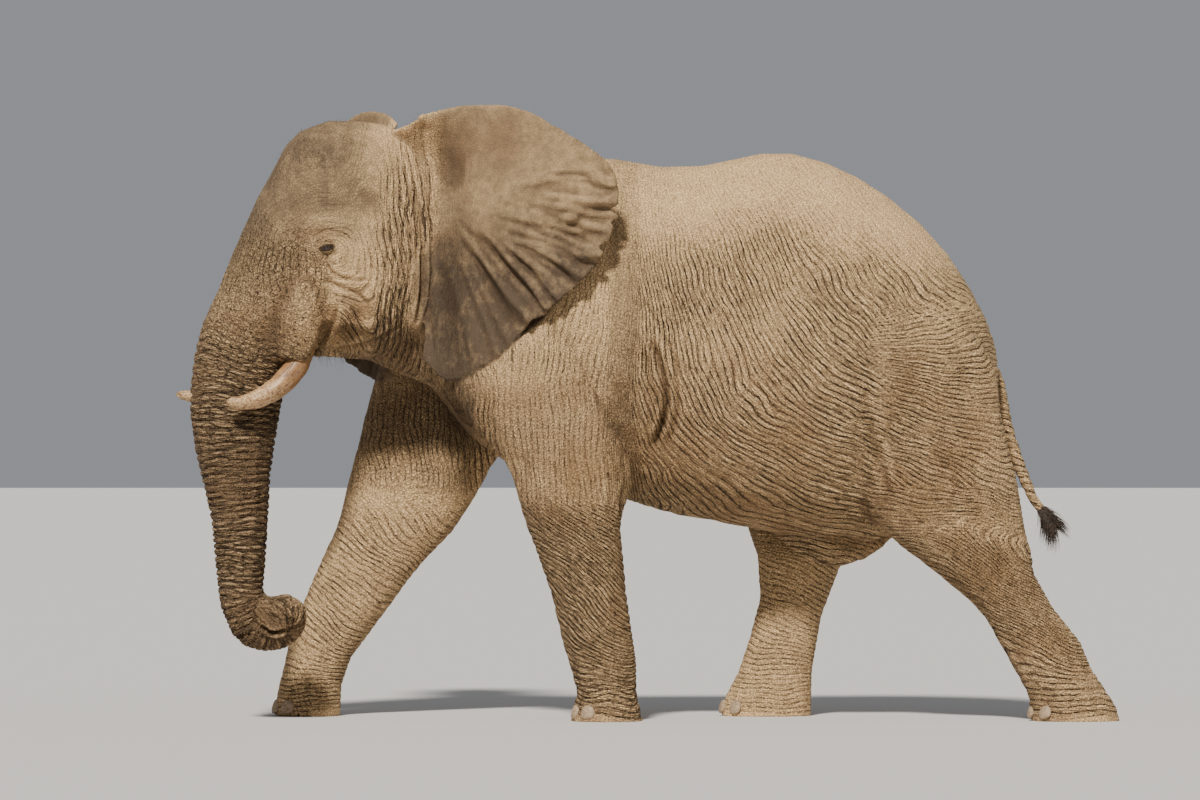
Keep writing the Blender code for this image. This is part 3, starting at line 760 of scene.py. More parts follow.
@dataclass(frozen=True)
class NailFinish:
    """Scuffed horn with growth lines and packed dust."""

    horn: tuple = (0.27, 0.185, 0.112, 1.0)
    worn: tuple = (0.40, 0.29, 0.178, 1.0)
    dirt: tuple = (0.14, 0.09, 0.055, 1.0)
    layers_per_metre: tuple = (30.0, 30.0, 170.0)
    relief: float = 0.0015

    def make(self) -> Material:
        """Builds the material.

        Returns:
            The material.
        """
        n = Nodes("nail", 0.6)
        here = n.position()
        lines = n.noise(n.stretched(here, self.layers_per_metre), 1.0, 3.0)
        soil = n.noise(here, 45.0, 4.0, 0.7)
        colour = n.blend(n.span(lines, 0.35, 0.65), self.horn, self.worn)
        colour = n.blend(n.span(soil, 0.45, 0.7, 0.0, 0.8), colour, self.dirt)
        normal = n.bump(n.math("ADD", lines, n.times(soil, 0.6)), self.relief)
        rough = n.span(soil, 0.3, 0.7, 0.5, 0.8)
        return n.wear(Base_Color=colour, Normal=normal, Roughness=rough)


@dataclass(frozen=True)
class HairFinish:
    """Coarse dark hair, browner in patches."""

    dark: tuple = (0.018, 0.013, 0.010, 1.0)
    brown: tuple = (0.075, 0.045, 0.026, 1.0)
    relief: float = 0.0003

    def make(self) -> Material:
        """Builds the material.

        Returns:
            The material.
        """
        n = Nodes("hair", 0.5)
        here = n.position()
        colour = n.blend(n.span(n.noise(here, 60.0, 3.0), 0.35, 0.7), self.dark, self.brown)
        return n.wear(Base_Color=colour, Normal=n.bump(n.noise(here, 500.0, 2.0), self.relief))


@dataclass(frozen=True)
class FloorFinish:
    """Pale, plain studio floor."""

    tone: tuple = (0.62, 0.60, 0.57, 1.0)

    def make(self) -> Material:
        """Builds the material."""
        n = Nodes("floor", 0.9)
        n.plain(Base_Color=self.tone)
        return n.material


# ------------------------------------------------------------------ forms of the body


@dataclass(frozen=True)
class Swelling:
    """A soft bump or hollow: height times exp(-q^2), q the distance in radii."""

    centre: tuple
    radii: tuple
    height: float
    place: Place = Place.BODY
    both: bool = True  # repeated on the right, mirrored in the middle plane

    def push(self, local: Array) -> Array:
        """How far it moves each point out.

        Args:
            local: points, x measured from the middle plane.

        Returns:
            Metres for each point.
        """
        total = np.zeros(len(local))
        for side in (1.0, -1.0) if self.both else (1.0,):
            centre = np.array([self.centre[0] * side, *self.centre[1:]])
            total += hill(local, centre, self.radii)
        return self.height * total


@dataclass(frozen=True)
class Crease:
    """A groove along a line drawn on one flank, as y and z; its banks bulge a little.

    With d the distance from the line in widths, the push is
    -depth exp(-d^2) + bank depth exp(-(d - 1.8)^2), plus a step that is positive on the
    left of the line's direction.
    """

    line: tuple
    width: float
    depth: float
    sides: tuple = (Side.LEFT, Side.RIGHT)
    place: Place = Place.BODY
    bank: float = 0.35
    step: float = 0.0
    on_ear: bool = False  # whether it also cuts the ear's own skin
    # the painted shade in a groove is full from this depth on
    darkest: float = 0.055  # the depth from which a groove is quite dark

    def push(self, local: Array, facing: Array) -> tuple[Array, Array]:
        """How far it moves each point out, and how much painted shade its groove puts there.

        Args:
            local: points, x measured from the middle plane.
            facing: the surface's direction across, -1 to 1.

        Returns:
            Metres for each point, and the groove's painted shade, a share from 0 to 1.
        """
        total, deep = np.zeros(len(local)), np.zeros(len(local))
        path = curve([(0.0, *point) for point in self.line], 8 * len(self.line))[:, 1:3]
        reach = 7.0 * self.width
        low, high = path.min(axis=0) - reach, path.max(axis=0) + reach
        inside = ((local[:, 1:] > low) & (local[:, 1:] < high)).all(axis=1)
        for side in self.sides:
            near = np.flatnonzero(inside & (local[:, 0] * side.value > 0.0))
            if not len(near):
                continue
            across = ease(0.0, 0.35, facing[near] * side.value)
            start, stretch = path[:-1], np.diff(path, axis=0)
            offset = local[near, None, 1:] - start
            share = np.clip((offset * stretch).sum(-1) / (stretch**2).sum(-1), 0.0, 1.0)
            gap = offset - share[..., None] * stretch
            far = np.sqrt((gap**2).sum(-1))
            best = far.argmin(axis=1)
            row = np.arange(len(near))
            left = stretch[best, 0] * gap[row, best, 1] - stretch[best, 1] * gap[row, best, 0]
            along = (best + share[row, best]) / len(start)
            taper = np.clip(np.minimum(along, 1.0 - along) * 6.0, 0.0, 1.0) ** 0.6
            taper = taper * across
            d = far[row, best] / self.width
            groove = bell(d)
            lips = self.bank * bell(d - 1.8)
            lean = np.sign(left) * self.step * (1.0 - groove) * bell(d / 4.0)
            total[near] += taper * (self.depth * (lips - groove) + lean)
            # painted shade in the groove, fuller in deeper creases
            groove_shade = min(1.0, self.depth / self.darkest)
            deep[near] = np.maximum(deep[near], taper * groove * groove_shade)
        return total, deep


@dataclass(frozen=True)
class Leg:
    """A leg's middle line and thickness by height, for telling its skin from the body's."""

    heights: tuple
    middles: tuple  # y at each height
    across: tuple  # x at each height
    slant: float = 0.0  # how much the ring folds rise towards the back
    top: float = 1.45  # where it has passed into the body
    folds: float = 0.75  # how deep its folds are

    def middle(self, z: Array) -> tuple[Array, Array]:
        """x and y of the middle line at each height."""
        return np.interp(z, self.heights, self.across), np.interp(z, self.heights, self.middles)

    def share(self, points: Array) -> Array:
        """How much each point belongs to the leg, from 0 to 1."""
        x, y = self.middle(points[:, 2])
        gap = np.hypot((points[:, 1] - y) / 1.5, points[:, 0] - x)
        return ease(self.top, self.top - 0.4, points[:, 2]) * ease(0.42, 0.32, gap)

    def lie(self, points: Array) -> Array:
        """Coordinates whose cells are long round the leg: x and y shrunk, z sheared.

        Args:
            points: world points.

        Returns:
            One row of coordinates for each point.
        """
        _, y = self.middle(points[:, 2])
        slant = self.slant * ease(0.15, 0.60, points[:, 2])
        tilted = (points[:, 2] + slant * (points[:, 1] - y)) * 1.2
        return np.stack([points[:, 0] * 0.16, tilted, points[:, 1] * 0.16], axis=1)


LEGS = (
    Leg((0.0, 0.44, 0.92, 1.45, 2.1), (-0.22, -0.268, -0.368, -0.43, -0.67),
        (0.665, 0.67, 0.69, 0.71, 0.71), slant=0.9, folds=1.15),
    Leg((0.0, 0.34, 0.85, 1.5, 2.12), (-1.95, -1.88, -1.595, -1.26, -1.025),
        (-0.105, -0.11, -0.13, -0.15, -0.14), slant=0.5, folds=0.70),
    Leg((0.0, 0.43, 0.82, 1.32, 2.0), (2.435, 2.238, 1.93, 1.66, 1.535),
        (0.64, 0.645, 0.67, 0.70, 0.68), slant=0.9, top=1.30, folds=0.90),
    Leg((0.0, 0.44, 0.87, 1.3, 2.0), (0.70, 0.80, 0.90, 1.06, 1.265),
        (-0.08, -0.085, -0.11, -0.14, -0.12), slant=0.4, top=1.30, folds=0.55),
)


@dataclass(frozen=True)
class Trunk:
    """The trunk's middle line in the head's frame and the spacing of its rings."""

    line: tuple = (
        (0.0, -1.92, 2.98), (0.0, -2.07, 2.66), (0.0, -2.19, 2.34), (0.0, -2.29, 2.10),
        (0.0, -2.355, 1.82), (0.0, -2.362, 1.62), (0.0, -2.355, 1.40), (0.0, -2.335, 1.20),
        (0.0, -2.33, 1.00), (0.0, -2.33, 0.82), (0.0, -2.318, 0.64), (0.0, -2.262, 0.52),
        (0.0, -2.16, 0.485), (0.03, -2.075, 0.52), (0.09, -2.065, 0.60),
        (0.14, -2.125, 0.62), (0.17, -2.175, 0.58),
    )
    ring_at: tuple = (0.0, 0.9, 1.4, 2.0, 2.6, 3.2)  # metres along
    ring_gap: tuple = (0.062, 0.055, 0.044, 0.038, 0.028, 0.022)
    half_width: float = 0.45  # no skin of the trunk is further from the head's middle
    block: int = 20000  # points looked up at once

    def find(self, points: Array, rear: float, top: float) -> tuple[Array, Array, Array]:
        """Picks the points near the trunk and finds their places along it.

        Args:
            points: world points.
            rear, top: y and z of the head's frame from which the trunk is looked for.

        Returns:
            Numbers of the points, metres along, and the offsets to the side and in depth
            as two columns.
        """
        head = to_head(points)
        front = (head[:, 1] < rear) & (head[:, 2] < top)
        near = np.flatnonzero(front & (np.abs(head[:, 0]) < self.half_width))
        return near, *self.locate(points[near])

    def locate(self, points: Array) -> tuple[Array, Array]:
        """Finds each point's place along the trunk.

        Args:
            points: world points, all near the trunk.

        Returns:
            Metres along, and the offsets to the side and in depth as two columns.
        """
        centre = from_head(curve(self.line, 240))
        along, side, depth = ring_frames(centre)
        length = np.linalg.norm(np.diff(centre, axis=0), axis=1)
        travelled = np.concatenate([[0.0], np.cumsum(length)])
        best = np.empty(len(points), dtype=int)
        for start in range(0, len(points), self.block):
            block = slice(start, start + self.block)
            far = ((points[block, None, :] - centre[None]) ** 2).sum(-1)
            best[block] = far.argmin(axis=1)
        offset = points - centre[best]
        ahead, sideways, deep = ((offset * axis[best]).sum(1) for axis in (along, side, depth))
        return travelled[best] + ahead, np.stack([sideways, deep], axis=1)

    def phase(self, at: Array) -> Array:
        """How many rings lie before each place along the trunk.

        Args:
            at: metres along the trunk.

        Returns:
            Rings passed, whole at the bottom of each groove.
        """
        fine = np.linspace(0.0, self.ring_at[-1], 800)
        rate = 1.0 / np.interp(fine, self.ring_at, self.ring_gap)
        total = np.concatenate([[0.0], np.cumsum((rate[1:] + rate[:-1]) / 2 * np.diff(fine))])
        return np.interp(at, fine, total)


TRUNK = Trunk()


# ------------------------------------------------------------------ ears


@dataclass(frozen=True)
class Ear:
    """An ear as a leaf that turns about its root, pleated towards its low rear edge.

    A point at share u from the root line to the free edge and v down the root stands at
    reach u times the edge's reach, in the heading root + (edge - root) reach, to which the
    lobe adds its own turn low down. Pleats move the sheet square to itself by a sawtooth
    of the angle about the top of the root.
    """

    side: Side
    root_heading: float  # degrees from straight back, outwards
    edge_heading: float
    lobe_turn: float
    lift: float
    pleat: float  # depth of the pleats in metres
    seed: int
    notches: tuple = ()  # how far down the edge, half width and bite of each
    hinge: tuple = (0.45, -1.34)
    root: tuple = (
        (-0.33, 3.34, 0.16), (-0.17, 3.14, 0.06), (-0.04, 2.84, 0.00), (-0.03, 2.50, 0.00),
        (-0.06, 2.28, 0.00),
    )
    edge: tuple = (
        (-0.06, 3.42), (0.22, 3.47), (0.48, 3.46), (0.78, 3.32), (1.06, 3.08), (1.05, 2.72),
        (0.91, 2.50), (0.60, 2.24), (0.36, 2.02), (0.10, 1.925), (-0.04, 2.04),
    )
    pleat_top: float = 3.08  # height from which the pleats fan out
    thick: tuple = (0.030, 0.017)  # at the root and at the edge
    rows: int = 240
    columns: int = 150

    def heading(self, reach: Array, height: Array) -> Array:
        """Which way the ear points at a reach and a height, in radians outwards."""
        lobe = np.clip((2.70 - height) / 0.80, 0.0, 1.0)
        turn = mixed(self.root_heading, self.edge_heading, np.clip(reach, 0.0, 1.0))
        return np.radians(turn + self.lobe_turn * lobe)

    def sheet(self) -> tuple[Array, Array]:
        """The ear's middle surface in the head's frame, and how far it reaches.

        Returns:
            A grid of points, and the share of the reach at each.
        """
        root = curve(self.root, self.rows)
        edge = curve([(*point, 0.0) for point in self.edge], self.rows)
        share = np.linspace(0.0, 1.0, self.columns)[None, :]
        down = np.linspace(0.0, 1.0, self.rows)[:, None]
        line = np.stack([down[:, 0] * 3.0, np.full(self.rows, self.seed), down[:, 0]], axis=1)
        frill = 0.013 * noise(line, 0.12, 3) + 0.009 * noise(line, 0.045, 4)
        for at, width, bite in self.notches:
            frill -= bite * np.exp(-(((down[:, 0] - at) / width) ** 4))
        reach = (edge[:, :1] + frill[:, None]) * share
        height = root[:, 1:2] * (1 - share) + edge[:, 1:2] * share
        heading = self.heading(reach, height)
        offset = self.relief(reach, height)
        near_root = (1 - share) ** 2
        x = self.hinge[0] + root[:, :1] * near_root + reach * np.sin(heading)
        y = self.hinge[1] - root[:, 2:] * near_root + reach * np.cos(heading)
        x = x + offset * np.cos(heading)
        y = y - offset * np.sin(heading)
        lifted = height + self.lift * np.clip(reach, 0.0, 1.0)
        points = np.stack([self.side.value * x, y, lifted], axis=-1)
        return points, np.broadcast_to(share, reach.shape)

    def relief(self, reach: Array, height: Array) -> Array:
        """How far the sheet stands out of its even surface: pleats, a bulge and a hollow.

        Args:
            reach: metres from the root line.
            height: metres above the ground.

        Returns:
            Metres outwards.
        """
        drop = self.pleat_top - height
        angle = np.arctan2(drop, np.maximum(reach, 0.02))
        where = np.stack([angle, reach, np.full(reach.shape, self.seed)], axis=-1)
        bend = 1.7 * noise(where, 0.42, 7) + 0.5 * noise(where, 0.15, 5)
        fine = noise(where * (9.0, 1.1, 1.0), 0.30, 8)
        begin = 0.42 + 0.15 * noise(where * (1.0, 0.2, 1.0), 0.30, 10)
        far = ease(begin, begin + 0.36, np.hypot(reach, drop))
        low = ease(0.98, 1.22, angle)
        strength = 0.70 + 0.85 * noise(where, 0.24, 9)
        narrow = 0.55 + 0.60 * noise(where, 0.17, 11)
        folds = self.pleats(angle * 6.6 + bend) * np.clip(strength, 0.1, 1.35) * (1.0 - 0.72 * low)
        folds += self.pleats(angle * 17.0 + 1.4 * bend) * np.clip(narrow, 0.0, 1.0) * 0.52
        amount = self.pleat * far * ease(-0.15, 0.30, angle) * ease(1.65, 1.35, angle)
        offset = amount * (folds + 0.48 * fine)
        spot = np.stack([reach, height], axis=-1)
        bulge = hill(spot, (0.48, 2.95), (0.24, 0.26))
        hollow = hill(spot, (0.17, 3.10), (0.10, 0.17))
        return offset + (0.030 * bulge - 0.040 * hollow)

    def pleats(self, turns: Array) -> Array:
        """A lopsided wave: up slowly for 0.7 of each turn and back down, from -0.5 to 0.5."""
        saw = turns % 1.0
        return np.where(saw < 0.70, ease(0.0, 0.70, saw), ease(1.0, 0.70, saw)) - 0.5

    def build(self) -> Object:
        """The ear as a closed shell, thick at its root and thin at its edge.

        Returns:
            The shell, which is only used up in the skin.
        """
        points, share = self.sheet()
        points = from_head(points)
        normal = np.cross(np.gradient(points, axis=0), np.gradient(points, axis=1))
        normal /= np.linalg.norm(normal, axis=2, keepdims=True) + 1e-9
        half = mixed(*self.thick, share[..., None]) / 2
        front, back = points + normal * half, points - normal * half
        faces = grid_faces(self.rows, self.columns, False)
        size = self.rows * self.columns
        index = np.arange(size).reshape(self.rows, self.columns)
        loop = np.concatenate([index[0, :-1], index[:-1, -1], index[-1, :0:-1], index[:0:-1, 0]])
        after = np.roll(loop, -1)
        rim = np.stack([after, loop, loop + size, after + size], axis=1)
        everything = np.concatenate([faces, faces[:, ::-1] + size, rim])
        both = np.concatenate([front.reshape(-1, 3), back.reshape(-1, 3)])
        return new_object("ear_shell", both, everything.tolist(), turn_out=True)

    def belonging(self, points: Array) -> Array:
        """How much each point belongs to the ear and not to the rest.

        Args:
            points: world points.

        Returns:
            One share for each point.
        """
        local = to_head(points)
        x = local[:, 0] * self.side.value - self.hinge[0]
        y = local[:, 1] - self.hinge[1]
        reach = np.hypot(x, y)
        height = local[:, 2] - self.lift * np.clip(reach, 0.0, 1.0)
        heading = self.heading(reach, height)
        aside = np.abs(x * np.cos(heading) - y * np.sin(heading))
        ahead = x * np.sin(heading) + y * np.cos(heading)
        middle = 2.9
        edge = curve([(*point, 0.0) for point in self.edge], 200)[::-1, :2] - (0.0, middle)
        bearing, limit = np.arctan2(edge[:, 1], edge[:, 0]), np.hypot(*edge.T)
        own = np.interp(np.arctan2(height - middle, reach), bearing, limit)
        inside = ease(0.03, 0.0, np.hypot(height - middle, reach) - own)
        free = 0.11 * ease(2.75, 2.55, height)
        return ease(0.110, 0.075, aside) * ease(0.0, 0.10, ahead + free) * inside


EARS = (
    Ear(Side.LEFT, 32.0, 24.0, 4.0, 0.0, 0.056, 1,
        ((0.475, 0.006, 0.050), (0.497, 0.005, 0.035), (0.545, 0.007, 0.045))),
    Ear(Side.RIGHT, 90.0, 112.0, 36.0, 0.10, 0.045, 2),
)


def ear_share(points: Array) -> Array:
    """How much each world point belongs to one of the ears, from 0 to 1."""
    return np.maximum(*(ear.belonging(points) for ear in EARS))


# ------------------------------------------------------------------ the skin


BODY_FORMS = (
    Swelling((0.56, -0.62, 2.45), (0.16, 0.16, 0.42), 0.022),  # shoulder blade
    Swelling((0.62, -0.80, 1.85), (0.20, 0.22, 0.30), 0.020),  # point of the shoulder
    Swelling((0.50, 1.42, 2.72), (0.22, 0.26, 0.20), 0.030),  # hip bone
    Swelling((0.55, 1.02, 2.36), (0.18, 0.22, 0.26), -0.022),  # hollow before it
    Swelling((0.60, 1.62, 1.95), (0.24, 0.26, 0.42), 0.020),  # thigh
    Swelling((0.60, -0.34, 0.46), (0.16, 0.09, 0.07), 0.022, both=False),  # wrist
    Swelling((0.42, -0.12, 1.42), (0.14, 0.07, 0.14), 0.020, both=False),  # elbow
    Swelling((0.40, 2.12, 0.92), (0.14, 0.09, 0.10), 0.018, both=False),  # hock
)

HEAD_FORMS = (
    Swelling((0.44, -1.62, 2.95), (0.14, 0.20, 0.15), -0.034, Place.HEAD),  # temple
    Swelling((0.43, -1.90, 2.80), (0.10, 0.13, 0.07), 0.024, Place.HEAD),  # brow
    Swelling((0.46, -1.62, 2.66), (0.12, 0.26, 0.05), 0.014, Place.HEAD),  # cheek arch
    Swelling((0.42, -1.90, 2.655), (0.12, 0.13, 0.09), -0.016, Place.HEAD),  # eye socket
    Swelling((0.46, -1.50, 2.38), (0.12, 0.18, 0.18), 0.022, Place.HEAD),  # chewing muscle
    Swelling((0.40, -1.76, 2.27), (0.14, 0.09, 0.14), -0.030, Place.HEAD),  # behind the mouth
    Swelling((0.36, -2.02, 2.22), (0.14, 0.13, 0.20), 0.022, Place.HEAD),  # tusk's root
    Swelling((0.20, -1.88, 3.20), (0.16, 0.16, 0.18), 0.014, Place.HEAD),  # forehead
)

BODY_CREASES = (
    Crease(((0.02, 2.16), (0.085, 2.00), (0.115, 1.84), (0.10, 1.70), (0.05, 1.56)), 0.017, 0.042,
           (Side.LEFT,), bank=0.6, step=-0.012),  # armpit slit
    Crease(((-0.06, 2.46), (0.06, 2.26), (0.16, 2.03), (0.18, 1.80), (0.14, 1.56)), 0.014, 0.010,
           (Side.LEFT,)),
    Crease(((-0.44, 2.14), (-0.37, 1.97), (-0.35, 1.80), (-0.40, 1.62)), 0.022, 0.036,
           (Side.RIGHT,), bank=0.6),
    Crease(((0.95, 1.92), (0.885, 1.68), (0.80, 1.45), (0.74, 1.25)), 0.032, 0.026,
           (Side.RIGHT,), bank=0.5),
    Crease(((1.22, 1.86), (1.27, 1.65), (1.32, 1.45), (1.38, 1.25)), 0.026, 0.018,
           (Side.LEFT,), bank=0.5),
    Crease(((-0.24, 1.52), (-0.21, 1.40), (-0.20, 1.26), (-0.23, 1.14)), 0.012, 0.005,
           (Side.LEFT,)),
    Crease(((-0.19, 1.52), (-0.165, 1.40), (-0.16, 1.28), (-0.18, 1.16)), 0.012, 0.006,
           (Side.LEFT,)),
    Crease(((-0.15, 1.50), (-0.125, 1.38), (-0.125, 1.26), (-0.14, 1.12)), 0.012, 0.007,
           (Side.LEFT,)),
    Crease(((-2.055, 0.500), (-1.985, 0.525), (-1.92, 0.570)), 0.008, 0.014, (Side.LEFT,)),
    Crease(((-2.175, 0.535), (-2.13, 0.502), (-2.08, 0.496), (-2.035, 0.512)), 0.011, 0.030,
           (Side.LEFT,), bank=0.5),  # nostrils
    Crease(((-2.07, 0.66), (-2.10, 0.60), (-2.10, 0.54)), 0.014, 0.006, (Side.LEFT,)),
    Crease(((-0.13, 1.33), (-0.14, 1.22), (-0.10, 1.11)), 0.014, 0.012, (Side.LEFT,)),  # elbow
)

HEAD_CREASES = (
    Crease(((-1.95, 2.61), (-1.89, 2.53), (-1.81, 2.49), (-1.68, 2.49)), 0.011, 0.013,
           place=Place.HEAD),
    Crease(((-1.94, 2.49), (-1.84, 2.445), (-1.75, 2.405), (-1.68, 2.34)), 0.012, 0.013,
           place=Place.HEAD),
    Crease(((-1.86, 2.34), (-1.87, 2.24), (-1.89, 2.15), (-1.93, 2.03)), 0.015, 0.012,
           place=Place.HEAD, bank=0.5, step=0.014),  # rear edge of the upper lip
    Crease(((-1.62, 2.80), (-1.585, 2.66), (-1.60, 2.52)), 0.009, 0.009, place=Place.HEAD),
    Crease(((-1.58, 2.86), (-1.54, 2.68), (-1.555, 2.50)), 0.009, 0.010, place=Place.HEAD),
    Crease(((-1.54, 2.92), (-1.495, 2.72), (-1.51, 2.50), (-1.55, 2.30)), 0.010, 0.011,
           place=Place.HEAD),
    Crease(((-1.49, 3.00), (-1.45, 2.76), (-1.455, 2.52), (-1.50, 2.26)), 0.010, 0.012,
           place=Place.HEAD),
    Crease(((-1.48, 3.16), (-1.41, 2.92), (-1.40, 2.64), (-1.41, 2.36)), 0.012, 0.018,
           place=Place.HEAD),
    Crease(((-1.405, 3.05), (-1.380, 2.85), (-1.372, 2.62), (-1.376, 2.40), (-1.40, 2.24)),
           0.013, 0.038, place=Place.HEAD, step=0.016, on_ear=True),  # the ear's front edge
    Crease(((-1.82, 2.10), (-1.70, 2.12), (-1.58, 2.17), (-1.47, 2.26)), 0.012, 0.012,
           place=Place.HEAD),
)


def eyeball(side: Side) -> tuple[Array, float]:
    """The middle and the radius of an eye."""
    middle, size = box_of(f"eye_{side.tag}")
    return middle, size.max() / 2


@dataclass(frozen=True)
class Lids:
    """Eyelids: an almond opening over the ball, its rim, and rings of folds round it.

    h and v are the distances behind and above the ball's middle, and q is 1 on the
    almond's border: q^2 = (h / half width)^2 + (v / half height)^2. Skin inside the almond
    goes behind the ball. Outside, the skin stands on the ball with the lid's thickness and
    passes into the face by a smooth maximum of the two surfaces.
    """

    side: Side
    half_width: float = 0.0285
    above: float = 0.0145
    below: float = 0.0115
    thick: float = 0.0055
    tilt: float = math.radians(-13.0)
    reach: float = 0.105
    scale: float = 0.018  # metres for each unit of q beyond the almond
    bag: float = 0.004  # height of the fold under the eye
    rings: tuple = (0.010, 0.021, 0.034, 0.050)
    ring_depths: tuple = (0.0055, 0.0046, 0.0042, 0.0034)

    def axes(self) -> tuple[Array, Array, Array]:
        """Directions out of the head, backwards and up along the tilted almond.

        Returns:
            Three unit vectors.
        """
        out, back = way_from_head([self.side.value, 0.0, 0.0]), way_from_head([0.0, 1.0, 0.0])
        up = np.array([0.0, 0.0, 1.0])
        cosine, sine = math.cos(self.tilt), math.sin(self.tilt)
        return out, back * cosine - up * sine, up * cosine + back * sine

    def near(self, points: Array, more: float = 0.0) -> Array:
        """Which points lie round this eye."""
        return np.linalg.norm(points - eyeball(self.side)[0], axis=1) < self.reach + more

    def folds(self, h: Array, v: Array, s: Array) -> tuple[Array, Array]:
        """The rings of folds, which waver and fade here and there.

        Args:
            h, v: distances behind and above the ball's middle.
            s: distance from the almond's border.

        Returns:
            How deep the skin is pressed in, and the painted shade in its grooves.
        """
        round_eye = np.outer(np.arctan2(v, h), (1.0, 0.0, 0.0))
        wander = 0.0045 * noise(round_eye, 0.55, 53) * ease(0.004, 0.03, s)
        weight = 0.25 + 0.75 * ease(0.25, 0.70, np.abs(v) / (np.hypot(h, v) + 1e-6))
        folds, dark = np.zeros(len(h)), np.zeros(len(h))
        for number, (at, depth) in enumerate(zip(self.rings, self.ring_depths)):
            broken = noise(round_eye + (number, 0.0, 0.0), 0.9, 54)
            depth = depth * weight * np.clip(0.75 + 0.7 * broken, 0.0, 1.0)
            groove = bell((s + wander - at) / (0.0032 + 0.05 * at))
            folds += depth * groove
            # painted shade in the ring's groove
            dark = np.maximum(dark, 0.75 * groove * depth / self.ring_depths[0])
        return folds, dark

    def shape(self, points: Array) -> tuple[Array, Array]:
        """Moves the skin round the eye.

        Args:
            points: all corners of the skin.

        Returns:
            The corners, and the painted shade of the folds and of the dark rim round the opening.
        """
        centre, radius = eyeball(self.side)
        own = np.flatnonzero(self.near(points))
        out, back, up = self.axes()
        offset = points[own] - centre
        a, h, v = offset @ out, offset @ back, offset @ up
        tall = np.where(v > 0.0, self.above, self.below)
        q = np.sqrt((h / self.half_width) ** 2 + (v / tall) ** 2 + 1e-9)
        s = (q - 1.0) * self.scale + 0.005 * noise(points[own], 0.045, 51) * ease(1.0, 2.0, q)
        fade = ease(self.reach, 0.6 * self.reach, np.hypot(h, v))
        ball = np.sqrt(np.clip((radius + self.thick) ** 2 - h**2 - v**2, 0.0, None))
        over = mixed(a, smooth_max(ball, a, 0.013), fade)
        folds, dark = self.folds(h, v, s)
        bag = self.bag * bell((s - 0.0165) / 0.005) * (v < 0.0)
        over = over + fade * (bag - folds)
        deep = mixed(0.3 * radius, over, ease(-0.0040, 0.0004, s))
        moved, crease = points.copy(), np.zeros(len(points))
        moved[own] += (deep - a)[:, None] * out
        # painted shade in the rings of folds; round the opening the skin is darkened, partly its
        # own dark wet skin and partly painted shade of the lids
        crease[own] = np.maximum(dark * fade, 0.95 * ease(0.018, 0.007, s))
        return moved, crease


